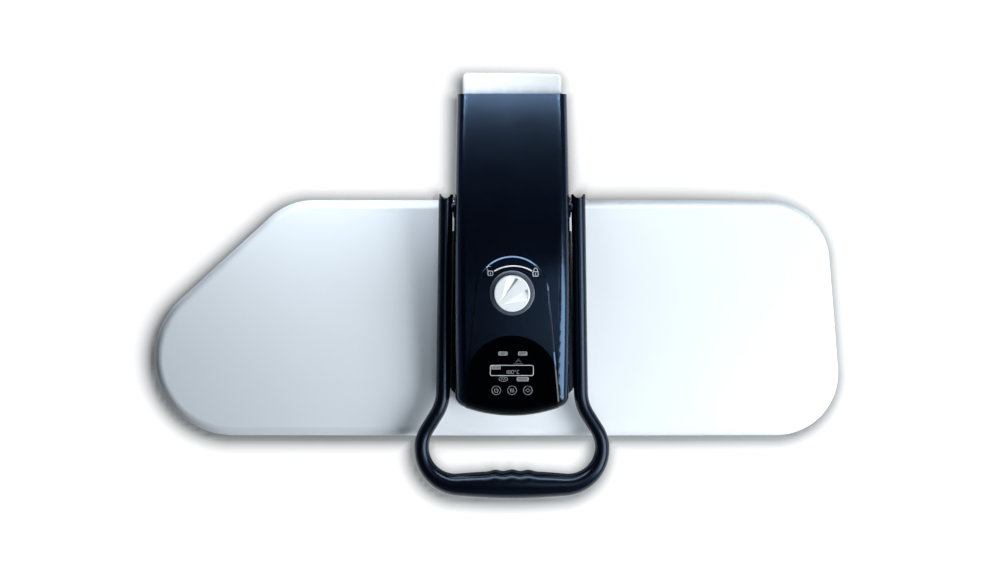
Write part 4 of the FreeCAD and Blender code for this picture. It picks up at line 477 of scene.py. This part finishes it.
def frosted_tank():
    finish = Finish("tank_wall")
    low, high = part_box("water_tank")
    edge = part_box("arm_cover")[1].y
    grain = finish.noise(700.0, 3.0)
    from_middle = (finish.x - (low.x + high.x) / 2) * (math.pi / FLUTE_PITCH)
    outside_painted_highlights = 1 - from_middle.sine().size().ramp(0.85, 1.0)
    # Painted shade: a bluish grey band beside the arm's edge, broken by painted highlights at the flutes' pitch.
    painted_shade = finish.y.ramp(edge, edge + PAINTED_SHADE_DEPTH, 1.0, 0.0) * (0.35 + 0.65 * outside_painted_highlights)
    frost = finish.mix(finish.noise(9.0), shade(0.62, 0.615, 0.61), shade(0.66, 0.655, 0.65))
    return finish.surface(
        base_color=finish.mix(painted_shade, frost, shade(0.54, 0.555, 0.61)),
        roughness=0.3 + 0.08 * (grain - 0.5),
        normal=finish.bump(grain, 0.00003),
    )


finishes["smoked_lens"] = smoked_lens()
finishes["display_glass"] = display_glass()
finishes["lamp_plastic"] = lamp_cap()
finishes["frosted_plastic"] = frosted_tank()
print("lens, display, lamps and tank")

# %% [markdown]
# ## Metals
#
# Each metal keeps the marks of how it was worked. The knob was turned, so its lines run round its axis.
# The sole was ground along its length. Sheet and bar steel is zinc plated, with a cloudy bloom, and the
# bushes are turned brass. The same noise, squeezed in one direction, draws all these lines.

# %% Turned, ground and plated metal
def turned_silver():
    finish = Finish("turned_silver")
    axis = joints["knob_turn"]["pos_m"]
    across = finish.x - axis[0]
    along = finish.y - axis[1]
    radius = (across * across + along * along) ** 0.5
    sockets = {"W": radius, "Scale": 2500.0, "Detail": 3.0}
    lines = finish.node("ShaderNodeTexNoise", {"noise_dimensions": "1D"}, sockets)
    tone = finish.mix(lines, shade(0.84, 0.85, 0.86), shade(0.9, 0.91, 0.92))
    return finish.surface(
        base_color=tone,
        metallic=0.06,
        roughness=0.4 + 0.1 * lines,
        normal=finish.bump(lines, 0.00001),
    )


def worked_metal(name, dark, light, roughness, squeeze, line_depth):
    finish = Finish(name)
    lines = finish.noise(700.0, 4.0, squeeze)
    bloom = finish.noise(35.0, 4.0)
    return finish.surface(
        base_color=finish.mix(bloom, shade(*dark), shade(*light)),
        metallic=1.0,
        roughness=roughness + 0.14 * (lines - 0.5) + 0.1 * (bloom - 0.5),
        normal=finish.bump(lines, line_depth),
    )


ALONG_X = (0.03, 1, 1)
ALONG_X_AND_Z = (0.2, 1, 0.2)
ROUND_X = (1, 0.2, 0.2)
ALONG_Z = (1, 1, 0.05)
METALS = [
    ("aluminium", "ground_aluminium", (0.62, 0.63, 0.65), (0.72, 0.73, 0.74), 0.32, ALONG_X, 0.00002),
    ("steel", "plated_steel", (0.5, 0.51, 0.54), (0.62, 0.62, 0.63), 0.34, ALONG_X_AND_Z, 0.00001),
    ("black_steel", "blackened_steel", (0.012, 0.013, 0.017), (0.022, 0.023, 0.028), 0.42, ROUND_X, 0.00001),
    ("brass", "turned_brass", (0.62, 0.45, 0.2), (0.72, 0.54, 0.27), 0.3, ALONG_Z, 0.00001),
]
finishes["silver"] = turned_silver()
finishes.update({slot: worked_metal(*numbers) for slot, *numbers in METALS})
print("knob and", len(METALS), "worked metals")

# %% [markdown]
# ## Coated sheet, rubber and circuit board
#
# The board's tray is powder coated, which leaves the skin of an orange. Feet, seal and gland are matt
# rubber, the hoses milky silicone, and the control board is green laminate with its copper tracks showing
# as slightly raised lines.

# %% Powder coat, rubber, laminate
def powder_coat():
    finish = Finish("powder_coat")
    peel = finish.noise(650.0, 2.0)
    tone = finish.mix(finish.noise(20.0), shade(0.66, 0.67, 0.69), shade(0.72, 0.73, 0.75))
    gloss = 0.38 + 0.15 * (peel - 0.5)
    return finish.surface(base_color=tone, roughness=gloss, normal=finish.bump(peel, 0.00008))


def soft_rubber(name, dark, light, roughness):
    finish = Finish(name)
    grain = finish.noise(1300.0, 3.0)
    bloom = finish.noise(90.0, 4.0).ramp(0.4, 0.75)
    return finish.surface(
        base_color=finish.mix(bloom, shade(*dark), shade(*light)),
        roughness=roughness + 0.1 * (grain - 0.5),
        normal=finish.bump(grain, 0.00003),
    )


def green_laminate():
    finish = Finish("green_laminate")
    lanes = (finish.x * (2 * math.pi / (2.4 * MM))).sine() + (finish.noise(300.0) - 0.5)
    tracks = lanes.ramp(0.5, 0.7)
    return finish.surface(
        base_color=finish.mix(tracks, shade(0.02, 0.13, 0.05), shade(0.05, 0.24, 0.09)),
        roughness=0.35,
        normal=finish.bump(tracks, 0.00004),
    )


finishes["coated_steel"] = powder_coat()
finishes["rubber"] = soft_rubber("matt_rubber", (0.018, 0.018, 0.02), (0.034, 0.034, 0.036), 0.7)
# Near-black rubber for the lips that stand in for the shade in the gaps beside the arm.
finishes["lip_rubber"] = soft_rubber("lip_rubber", (0.002, 0.002, 0.003), (0.004, 0.004, 0.005), 0.8)
finishes["hose_rubber"] = soft_rubber("milky_silicone", (0.66, 0.66, 0.64), (0.72, 0.72, 0.7), 0.45)
finishes["laminate"] = green_laminate()
print(len(finishes), "finishes so far")

# %% [markdown]
# ## Cloth and felt
#
# The board's cover is plain woven cotton. Two crossing sine waves, multiplied, rise where one thread
# passes over the other; that gives both the bump and the small change of tone. A slow noise adds the faint
# creases of a cloth that has been pressed and pulled. The pad below is felt: hair-fine noise with no
# direction.

# %% Woven cotton and felt
THREAD = 0.9 * MM


def woven_cotton():
    finish = Finish("woven_cotton")
    turn = 2 * math.pi / THREAD
    warp = ((finish.x + 0.5 * finish.z) * turn).sine()
    weft = ((finish.y + finish.z) * turn).sine()
    weave = 0.5 + 0.5 * warp * weft
    slub = finish.noise(220.0, 3.0, (1.0, 0.15, 1.0))
    crease = finish.noise(26.0, 2.0, (0.5, 1.0, 1.0))
    thread = finish.mix(weave, shade(0.6, 0.62, 0.65), shade(0.74, 0.755, 0.775))
    worn = finish.mix(finish.noise(7.0, 3.0), shade(0.66, 0.68, 0.7), shade(0.72, 0.735, 0.75))
    return finish.surface(
        base_color=finish.mix(0.5, thread, worn),
        roughness=0.86 + 0.1 * (slub - 0.5),
        normal=finish.bump(weave + 0.6 * slub + 4.0 * crease, 0.00018),
        sheen_weight=0.25,
    )


def pressed_felt():
    finish = Finish("pressed_felt")
    hairs = finish.noise(1500.0, 6.0)
    tufts = finish.noise(120.0, 4.0)
    return finish.surface(
        base_color=finish.mix(tufts, shade(0.58, 0.58, 0.56), shade(0.74, 0.74, 0.71)),
        roughness=0.95,
        normal=finish.bump(hairs + tufts, 0.0003),
        sheen_weight=0.3,
    )


finishes["cotton"] = woven_cotton()
finishes["felt"] = pressed_felt()
print("cotton and felt")

# %% [markdown]
# ## Dressing the solid pieces
#
# The record that comes with the press says which finish each piece takes, so one loop dresses them all.
# Three pieces differ from their kind: the ring round the knob is satin, so that it catches the light, the
# bushes of the handle are as dark as the handle, and the shaft in them is blackened.

# %% Finishes on pieces
OWN_FINISH = {"knob_bezel": "bezel_satin", "pivot_bushes": "handle_plastic", "handle_shaft": "black_steel"}
for row in frame["record"]["subparts"]:
    piece = nodes[row["node"]]
    piece.data.materials.clear()
    piece.data.materials.append(finishes[OWN_FINISH.get(row["node"], row["material_slot"])])

# %% [markdown]
# ## Helpers for new pieces
#
# A new piece is a mesh built in the press's own frame, with a finish, a body that it moves with and the
# name of the finish it belongs to.

# %% New pieces
def new_piece(name, mesh, slot, body):
    piece = bpy.data.objects.new(name, mesh)
    bpy.context.scene.collection.objects.link(piece)
    mesh.materials.clear()
    mesh.materials.append(finishes[slot])
    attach(piece, body)
    return piece


def wrapped_form(node):
    """Closed skin stretched round a convex solid, as a fresh mesh."""
    built = bmesh.new()
    for vertex in nodes[node].data.vertices:
        built.verts.new(vertex.co)
    bmesh.ops.convex_hull(built, input=built.verts)
    loose = [vertex for vertex in built.verts if not vertex.link_faces]
    bmesh.ops.delete(built, geom=loose, context="VERTS")
    mesh = bpy.data.meshes.new(node + "_form")
    built.to_mesh(mesh)
    built.free()
    return mesh


def use_modifier(piece, kind, **settings):
    """Adds a modifier, applies it at once and returns the piece."""
    modifier = piece.modifiers.new(kind.title(), kind)
    for name, value in settings.items():
        setattr(modifier, name, value)
    bpy.context.view_layer.update()
    graph = bpy.context.evaluated_depsgraph_get()
    mesh = bpy.data.meshes.new_from_object(piece.evaluated_get(graph))
    piece.modifiers.clear()
    piece.data = mesh
    return piece


print("helpers ready")

# %% [markdown]
# ## The felt pad
#
# The pad is a slab of felt with softly rounded edges. A remeshed copy of its solid, smoothed, loses the
# hard look of a moulding. It lies between the tray and the cover, so little of it ever shows.

# %% Felt pad
VOXEL = 5 * MM


def felt_pad():
    pad = new_piece("felt_pad", wrapped_form("board_pad"), "felt", "base")
    use_modifier(pad, "REMESH", mode="VOXEL", voxel_size=VOXEL)
    use_modifier(pad, "SMOOTH", factor=0.5, iterations=4)
    low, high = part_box("board_pad")
    for vertex in pad.data.vertices:
        vertex.co.z = min(max(vertex.co.z, low.z), high.z)
    pad.data.polygons.foreach_set("use_smooth", [True] * len(pad.data.polygons))
    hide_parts("board_pad")
    return pad


print("pad of", len(felt_pad().data.polygons), "faces")

# %% [markdown]
# ## The board's cover
#
# The cover is a fitted sheet: cotton drawn over pad and tray, with an elastic hem that gathers it
# underneath. A closed skin round the board is inflated a little with the cloth solver, which rounds the
# edges the way stretched cloth does, and each point's travel is capped. Then the underside is cut open,
# the hem is rippled, and the skin gets its thickness. The plate presses the top flat, so nothing may rise
# above the solid cover's own top.

# %% Fitted cover
CLOTH_PRESSURE = 4.0
CLOTH_FRAMES = 20
SWELL_CAP = 2.5 * MM
COVER_SHRINK = 0.997
CLOTH_THICKNESS = 1.2 * MM
HEM_WIDTH = 17 * MM
GATHER_PITCH = 11 * MM
GATHER_DEPTH = 2.2 * MM
GATHER_START = 0.45
UNEVEN_TURN = 4.3
UNDERSIDE_BAND = 4 * MM
UNDERSIDE_RAYS = 16
RAY_HEIGHT = 3 * MM


def inflate(piece, low, high):
    """Blows the closed skin up with the cloth solver and caps how far each point travels."""
    start = [vertex.co.copy() for vertex in piece.data.vertices]
    modifier = piece.modifiers.new("Cloth", "CLOTH")
    modifier.settings.use_pressure = True
    modifier.settings.uniform_pressure_force = CLOTH_PRESSURE
    modifier.settings.effector_weights.gravity = 0.0
    scene = bpy.context.scene
    for number in range(1, CLOTH_FRAMES + 1):
        scene.frame_set(number)
    graph = bpy.context.evaluated_depsgraph_get()
    swollen = [vertex.co.copy() for vertex in piece.evaluated_get(graph).data.vertices]
    piece.modifiers.clear()
    scene.frame_set(1)
    for vertex, before, after in zip(piece.data.vertices, start, swollen):
        travel = after - before
        if travel.length > SWELL_CAP:
            travel = travel.normalized() * SWELL_CAP
        vertex.co = before + travel
        vertex.co.z = min(max(vertex.co.z, low.z), high.z)


def gather_hem(piece, low, high):
    """Ripples the lower part of the side, more the nearer a point lies to the hem.

    A second, slower ripple makes the gathers uneven, as elastic does.
    """
    middle = (low + high) / 2
    for vertex in piece.data.vertices:
        depth = (high.z - vertex.co.z) / (high.z - low.z)
        if depth > GATHER_START:
            spoke = Vector((vertex.co.x - middle.x, vertex.co.y - middle.y, 0.0))
            around = math.atan2(spoke.y, spoke.x) * spoke.length / GATHER_PITCH
            ripple = math.sin(2 * math.pi * around) + 0.5 * math.sin(UNEVEN_TURN * around + 1.0)
            share = min((depth - GATHER_START) / GATHER_START, 1.0)
            vertex.co += spoke.normalized() * (ripple - 1.0) * 0.5 * GATHER_DEPTH * share


def open_underside(piece, low):
    """Cuts away the faces underneath that lie farther than the hem from the side, all round."""
    built = bmesh.new()
    built.from_mesh(piece.data)
    inside = BVHTree.FromBMesh(built)
    under = []
    for face in built.faces:
        middle = face.calc_center_median()
        if face.normal.z < -0.7 and middle.z < low.z + UNDERSIDE_BAND:
            reach = []
            for turn in range(UNDERSIDE_RAYS):
                angle = 2 * math.pi * turn / UNDERSIDE_RAYS
                way = Vector((math.cos(angle), math.sin(angle), 0.0))
                hit = inside.ray_cast(middle + Vector((0, 0, RAY_HEIGHT)), way)
                reach.append(hit[3] if hit[3] else 0.0)
            if min(reach) > HEM_WIDTH:
                under.append(face)
    bmesh.ops.delete(built, geom=under, context="FACES")
    built.to_mesh(piece.data)
    built.free()


def fitted_cover():
    low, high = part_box("board_cloth")
    cover = new_piece("fitted_cover", wrapped_form("board_cloth"), "cotton", "base")
    use_modifier(cover, "REMESH", mode="VOXEL", voxel_size=VOXEL)
    middle = (low + high) / 2
    for vertex in cover.data.vertices:
        vertex.co.x = middle.x + (vertex.co.x - middle.x) * COVER_SHRINK
        vertex.co.y = middle.y + (vertex.co.y - middle.y) * COVER_SHRINK
    inflate(cover, low, high)
    gather_hem(cover, low, high)
    open_underside(cover, low)
    use_modifier(cover, "SUBSURF", levels=1)
    for vertex in cover.data.vertices:
        vertex.co.z = min(vertex.co.z, high.z)
    cut = sum(face.area for face in cover.data.polygons)
    use_modifier(cover, "SOLIDIFY", thickness=CLOTH_THICKNESS, offset=-1.0)
    cover.data.polygons.foreach_set("use_smooth", [True] * len(cover.data.polygons))
    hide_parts("board_cloth")
    turned_in = high.z - low.z + HEM_WIDTH
    flat = (high.x - low.x + 2 * turned_in, high.y - low.y + 2 * turned_in)
    return cover, flat, cut


cover, flat, cut = fitted_cover()
print("cover of", len(cover.data.polygons), "faces, cut from", [round(side, 3) for side in flat], "m")
print("with", round(cut, 3), "square metres of cloth")

# %% [markdown]
# ## Springs and hose under the roof
#
# The plate hangs in the arm and rises three millimetres when the handle lets it go. The four return springs
# and the feed hose each have one end on the arm and the other on the plate, so they stretch. Each solid is
# replaced by a copy of itself, with its place baked in and tied to neither body.

# %% Copied pieces
def stretching_piece(name, node, slot):
    """Copy of an upright solid, with its place baked in; the solid itself is hidden."""
    mesh = nodes[node].data.copy()
    mesh.materials.clear()
    mesh.materials.append(finishes[slot])
    piece = bpy.data.objects.new(name, mesh)
    bpy.context.scene.collection.objects.link(piece)
    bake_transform(piece)
    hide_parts(node)
    return piece


print(stretching_piece("soft_feed_hose", "feed_hose", "hose_rubber").name)
print(stretching_piece("stud_springs", "return_springs", "steel").name)

# %% [markdown]
# ## Lips beside the arm
#
# A narrow gap runs between the rail along each side of the arm and the leg of the handle. A near-black
# rubber lip on the rail's edge fills it, nearly touching the leg: a dark piece that stands in for the
# shade in that gap. Rays find the rail's edge and the leg's inner face at each step along the arm, so the
# lip follows both.

# %% Rubber lips
LIP_REAR = 52 * MM
LIP_FRONT = -93 * MM
LIP_STEPS = 30
LIP_DROP = 3.2 * MM
LIP_HEIGHT = 1.6 * MM
LIP_MOST = 1.5 * MM
LIP_CLEARANCE = 0.15 * MM
RAY_START = 200 * MM


def search_tree(name):
    data = nodes[name].data
    faces = [list(face.vertices) for face in data.polygons]
    return BVHTree.FromPolygons([vertex.co for vertex in data.vertices], faces)


def lip_section(tray, legs, side, y):
    """Four corners of the lip's section at one place along the arm."""
    low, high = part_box("arm_tray")
    level = high.z - LIP_DROP
    outwards = Vector((side, 0, 0))
    edge = tray.ray_cast(Vector(((low.x + high.x) / 2, y, level)) + outwards * RAY_START, -outwards)[0]
    reach = [leg.ray_cast(edge, outwards, LIP_MOST + LIP_CLEARANCE)[3] for leg in legs]
    wide = min([distance for distance in reach if distance] + [LIP_MOST + LIP_CLEARANCE]) - LIP_CLEARANCE
    up = Vector((0, 0, LIP_HEIGHT / 2))
    return [edge + up, edge + outwards * wide + up / 4, edge + outwards * wide - up / 4, edge - up]


def rubber_lip(side, name):
    tray = search_tree("arm_tray")
    legs = [search_tree("handle_upper"), search_tree("handle_lower")]
    built = bmesh.new()
    rings = []
    for step in range(LIP_STEPS + 1):
        y = LIP_REAR + (LIP_FRONT - LIP_REAR) * step / LIP_STEPS
        rings.append([built.verts.new(corner) for corner in lip_section(tray, legs, side, y)])
    for before, after in zip(rings, rings[1:]):
        for number in range(4):
            built.faces.new([before[number - 1], before[number], after[number], after[number - 1]])
    built.faces.new(rings[0])
    built.faces.new(rings[-1])
    bmesh.ops.recalc_face_normals(built, faces=built.faces)
    mesh = bpy.data.meshes.new(name)
    built.to_mesh(mesh)
    built.free()
    lip = new_piece(name, mesh, "lip_rubber", "arm")
    return lip


for side, name in ((-1, "left_lip"), (1, "right_lip")):
    lip = rubber_lip(side, name)
    print(lip.name, "is", round(max(lip.dimensions.xy) / MM), "mm long")

# %% [markdown]
# ## Printing on the controls
#
# The marks are ink on plastic. Each is drawn flat, in millimetres from the middle of the knob, as strokes
# and patches, and then dropped straight down onto the piece that carries it, so the ink follows the curve
# of the arm and rides on the right body. An ink stands a few hundredths of a millimetre proud.

# %% Ink
PATCH_LIFT = 0.03 * MM
STROKE_LIFT = 0.05 * MM
OVER_LIFT = 0.07 * MM
DROP_HEIGHT = 100 * MM


def ink(name, dark, light, shine=0.5):
    finish = Finish(name)
    speckle = finish.noise(1800.0, 3.0)
    return finish.surface(
        base_color=finish.mix(speckle, shade(*dark), shade(*light)),
        roughness=0.5 + 0.1 * (speckle - 0.5),
        specular_ior_level=shine,
    )


white_ink = ink("white_ink", (0.74, 0.75, 0.77), (0.82, 0.83, 0.85))
line_ink = ink("line_ink", (0.42, 0.43, 0.45), (0.5, 0.51, 0.53))
grey_ink = ink("grey_ink", (0.2, 0.205, 0.215), (0.26, 0.265, 0.275))
faint_ink = ink("faint_ink", (0.07, 0.075, 0.08), (0.11, 0.115, 0.12))
black_ink = ink("black_ink", (0.004, 0.004, 0.006), (0.009, 0.009, 0.011))
# Near-black matt ink that paints the shade of the tongue's seam and dulls the highlight on its bevel.
painted_seam_shade = ink("matt_sealer", (0.0006, 0.0008, 0.0016), (0.001, 0.0012, 0.0022), 0.1)
knob_middle = Vector(joints["knob_turn"]["pos_m"])


class Print:
    """Flat artwork in millimetres about the knob's middle, dropped onto the piece that carries it."""

    def __init__(self, carrier):
        self.ground = search_tree(carrier)
        self.built = bmesh.new()
        self.inks = []

    def drop(self, x, y, lift):
        start = Vector((knob_middle.x + x * MM, knob_middle.y + y * MM, knob_middle.z + DROP_HEIGHT))
        spot, normal = self.ground.ray_cast(start, Vector((0, 0, -1)))[:2]
        return self.built.verts.new(spot + normal * lift)

    def use(self, material):
        if material not in self.inks:
            self.inks.append(material)
        return self.inks.index(material)

    def patch(self, outline, material, lift=PATCH_LIFT):
        face = self.built.faces.new([self.drop(x, y, lift) for x, y in outline])
        face.material_index = self.use(material)

    def stroke(self, points, width, material, closed=False, lift=STROKE_LIFT):
        """Ribbon of even width along a line of points."""
        count = len(points)
        rails = []
        for number, (x, y) in enumerate(points):
            before = points[number - 1] if closed or number else points[0]
            after = points[(number + 1) % count] if closed or number + 1 < count else points[-1]
            way = Vector((after[0] - before[0], after[1] - before[1])).normalized()
            side = Vector((-way.y, way.x)) * width / 2
            rails.append([self.drop(x + side.x, y + side.y, lift), self.drop(x - side.x, y - side.y, lift)])
        for number in range(count if closed else count - 1):
            first, second = rails[number], rails[(number + 1) % count]
            face = self.built.faces.new([first[0], first[1], second[1], second[0]])
            face.material_index = self.use(material)

    def done(self, name, body):
        bmesh.ops.recalc_face_normals(self.built, faces=self.built.faces)
        for face in self.built.faces:
            if face.normal.z < 0:
                face.normal_flip()
        mesh = bpy.data.meshes.new(name)
        self.built.to_mesh(mesh)
        self.built.free()
        piece = bpy.data.objects.new(name, mesh)
        bpy.context.scene.collection.objects.link(piece)
        for material in self.inks:
            mesh.materials.append(material)
        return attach(piece, body)


def arc(x, y, radius, start, end, steps=24):
    angles = [math.radians(start + (end - start) * step / steps) for step in range(steps + 1)]
    return [(x + radius * math.cos(angle), y + radius * math.sin(angle)) for angle in angles]


def pill(x, y, width, height, radius):
    """Rectangle with round corners, as one closed outline."""
    right, top = width / 2 - radius, height / 2 - radius
    outline = []
    for side_x, side_y, start in ((1, 1, 0), (-1, 1, 90), (-1, -1, 180), (1, -1, 270)):
        outline += arc(x + side_x * right, y + side_y * top, radius, start, start + 90, 5)
    return outline


print("inks and strokes ready")

# %% [markdown]
# ## The tongue's seam
#
# Along both sides, where the raised tongue meets the arm's shell, a line of near-black matt ink on the
# tongue's bevel paints the seam's shade and dulls the bevel's highlight. Its place is found on the solid:
# at each step, rays from above come closer from the side until one meets the tongue.

# %% Seam lines
SEAM_WIDTH = 1.3
SEAM_INSET = 0.75
SEAM_REAR = 2.0
SEAM_FRONT = -54.0
SEAM_STEPS = 24
SEAM_SEARCH = 0.05
TONGUE_REACH = 60.0


def tongue_edge(ground, side, y):
    """Distance from the knob's middle, in millimetres, at which the tongue ends on one side."""
    across = TONGUE_REACH
    start = knob_middle + Vector((side * across * MM, y * MM, DROP_HEIGHT))
    while not ground.ray_cast(start, Vector((0, 0, -1)))[0]:
        across -= SEAM_SEARCH
        start.x = knob_middle.x + side * across * MM
    return across


def seam_lines():
    art = Print("fascia")
    for side in (-1, 1):
        rows = [SEAM_REAR + (SEAM_FRONT - SEAM_REAR) * step / SEAM_STEPS for step in range(SEAM_STEPS + 1)]
        middles = [side * (tongue_edge(art.ground, side, y) - SEAM_INSET) for y in rows]
        art.stroke(list(zip(middles, rows)), SEAM_WIDTH, painted_seam_shade)
    return art.done("tongue_seam", "arm")


print(seam_lines().name)

# %% [markdown]
# ## The lock's scale
#
# An arc runs over the knob from an open padlock, at the left, to a closed one, at the right, where the
# finger bar points when the press is locked.

# %% Padlocks and arc
SCALE_MIDDLE = (1.0, -9.1)
SCALE_RADIUS = 33.6
SCALE_SPREAD = 30.5
SCALE_WIDTH = 1.15
LOCK_LINE = 0.5


def padlock(art, x, y, width, height, shackle):
    """Body with a keyhole, and a shackle given from the middle of the body's top edge."""
    art.stroke(pill(x, y, width, height, 0.5), LOCK_LINE, white_ink, closed=True)
    art.stroke([(x, y - 0.9), (x, y + 0.6)], LOCK_LINE, white_ink)
    art.stroke([(x + across, y + height / 2 + up) for across, up in shackle], LOCK_LINE, white_ink)


def lock_scale():
    art = Print("fascia")
    sweep = arc(*SCALE_MIDDLE, SCALE_RADIUS, 90 + SCALE_SPREAD, 90 - SCALE_SPREAD, 40)
    art.stroke(sweep, SCALE_WIDTH, white_ink)
    padlock(art, -19.7, 17.9, 4.4, 3.8, [(-2.0, 0.0), (-3.2, 3.2), (-2.7, 4.2), (-1.6, 4.6), (0.1, 4.2)])
    padlock(art, 21.2, 17.3, 4.7, 3.9, [(-1.7, 0.0), *arc(0.0, 1.6, 1.6, 180, 0, 12), (1.7, 0.0)])
    return art.done("lock_scale_print", "arm")


print(lock_scale().name)

# %% [markdown]
# ## Digits and letters
#
# The display's number is drawn from seven straight segments, as such displays do it. The small capitals on
# the labels are strokes in a unit square.

# %% Segment digits and letters
SEGMENTS = {"0": "abcdef", "1": "bc", "8": "abcdefg", "C": "adef"}
LETTERS = {
    "O": [[(0, 0), (0, 1), (1, 1), (1, 0), (0, 0)]],
    "N": [[(0, 0), (0, 1), (1, 0), (1, 1)]],
    "F": [[(0, 0), (0, 1), (1, 1)], [(0, 0.5), (0.8, 0.5)]],
}


def segment_digit(art, digit, x, y, width, height, line, material):
    places = {
        "a": ((0, 1), (1, 1)), "b": ((1, 0.5), (1, 1)), "c": ((1, 0), (1, 0.5)), "d": ((0, 0), (1, 0)),
        "e": ((0, 0), (0, 0.5)), "f": ((0, 0.5), (0, 1)), "g": ((0, 0.5), (1, 0.5)),
    }
    for name in SEGMENTS[digit]:
        ends = [(x + across * width, y + up * height) for across, up in places[name]]
        art.stroke(ends, line, material)


def small_word(art, word, x, y, width, height, line, material):
    """Capital letters in strokes, centred on x and y."""
    step = width * 1.5
    left = x - (step * (len(word) - 1) + width) / 2
    for number, letter in enumerate(word):
        for strokes in LETTERS[letter]:
            start = left + step * number
            points = [(start + across * width, y + (up - 0.5) * height) for across, up in strokes]
            art.stroke(points, line, material, lift=OVER_LIFT)


print("segments and letters ready")

# %% [markdown]
# ## The display's artwork
#
# The display shows a framed window with a plain number in it, small pale labels above and below, and a
# few line symbols. Places are given from the knob's middle, and each pill as its width, its height and the
# radius of its corners.

# %% Display window and labels
LAMP_ROW = -55.1
LAMP_LABELS = ((-8.3, "ON"), (9.6, "OFF"))
LAMP_PILL = (8.6, 3.8, 1.2)
WINDOW = (-0.2, -70.6, 39.2, 9.4, 1.5)
BARS_LABEL = (-14.6, -68.0)
BARS_PILL = (8.4, 3.4, 0.5)
NUMBER_ROW = -73.4
DIGITS = ((-6.6, "1"), (-3.6, "8"), (-0.6, "0"), (4.6, "C"))
DIGIT_SIZE = (1.9, 2.9)
DEGREE = (2.9, NUMBER_ROW + 2.6, 0.5)
LABEL_ROW = -78.6
STRIPES_PILL = (11.0, 4.2, 1.3)
OVAL = (-8.0, 4.0, 2.0)
IRON = (5.7, -61.8)


def steam_iron(art, x, y):
    """Small outline of an iron's pointed sole with a wave under it."""
    art.stroke([(x - 2.6, y - 1.6), (x, y + 2.2), (x + 2.6, y - 1.6)], 0.45, faint_ink)
    art.stroke([(x - 1.2, y - 0.8), (x, y + 0.8), (x + 1.2, y - 0.8)], 0.45, faint_ink)
    art.stroke([(x - 4.4, y - 2.6), (x + 4.2, y - 2.6)], 0.4, faint_ink)


def display_art():
    art = Print("display_lens")
    for x, word in LAMP_LABELS:
        art.patch(pill(x, LAMP_ROW, *LAMP_PILL), grey_ink)
        small_word(art, word, x, LAMP_ROW, 1.3, 2.1, 0.5, black_ink)
    art.stroke(pill(*WINDOW), 0.7, line_ink, closed=True)
    x, y = BARS_LABEL
    art.patch(pill(x, y, *BARS_PILL), grey_ink)
    for shift in (-2.6, -1.3, 0.0, 1.3, 2.6):
        art.stroke([(x + shift, y - 0.9), (x + shift, y + 0.9)], 0.55, black_ink, lift=OVER_LIFT)
    for x, digit in DIGITS:
        segment_digit(art, digit, x, NUMBER_ROW, *DIGIT_SIZE, 0.45, grey_ink)
    art.stroke(arc(*DEGREE, 0, 360, 12), 0.35, grey_ink)
    art.patch(pill(9.7, LABEL_ROW, *STRIPES_PILL), grey_ink)
    for up in (-0.75, 0.75):
        art.stroke([(5.7, LABEL_ROW + up), (13.7, LABEL_ROW + up)], 0.6, black_ink, lift=OVER_LIFT)
    middle, long_half, short_half = OVAL
    ring = arc(0, 0, 1, 0, 360, 28)
    oval = [(middle + long_half * across, LABEL_ROW + short_half * up) for across, up in ring]
    art.stroke(oval, 0.5, grey_ink)
    wave = [(-10.4, -0.5), (-9.2, 0.8), (-8.0, -0.6), (-6.8, 0.8), (-5.6, -0.5)]
    art.stroke([(across, LABEL_ROW + up) for across, up in wave], 0.5, grey_ink)
    steam_iron(art, *IRON)
    return art.done("display_print", "arm")


print(display_art().name)

# %% [markdown]
# ## The keys' symbols
#
# Each key carries a ring and a line symbol: on and off, steam, and the iron's diamond. They ride on the
# keys, so they go down when a key is pressed.

# %% Key symbols
KEY_RADIUS = 4.5
RING_RADIUS = 4.0
RING_LINE = 0.5


def key_art(key):
    art = Print(key)
    low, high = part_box(key)
    x = ((low.x + high.x) / 2 - knob_middle.x) / MM
    y = (low.y - knob_middle.y) / MM + KEY_RADIUS
    art.stroke(arc(x, y, RING_RADIUS, 0, 360, 36), RING_LINE, grey_ink)
    if key == "button_left":
        art.stroke(arc(x, y - 0.2, 1.7, 120, 420, 20), RING_LINE, grey_ink)
        art.stroke([(x, y + 0.2), (x, y + 2.2)], RING_LINE, grey_ink)
    elif key == "button_middle":
        for shift in (-1.4, 0.0, 1.4):
            points = [(x + shift + 0.35 * math.sin(step), y - 1.9 + 0.6 * step) for step in range(7)]
            art.stroke(points, RING_LINE, grey_ink)
    else:
        art.stroke([(x - 2.2, y), (x, y + 1.6), (x + 2.2, y), (x, y - 1.6)], RING_LINE, grey_ink, closed=True)
    return art.done(key + "_print", key)


for key in ("button_left", "button_middle", "button_right"):
    print(key_art(key).name)

# %% [markdown]
# ## Colour view
#
# The picture's colours go through the standard view transform.

# %% View transform
bpy.context.scene.view_settings.view_transform = "Standard"
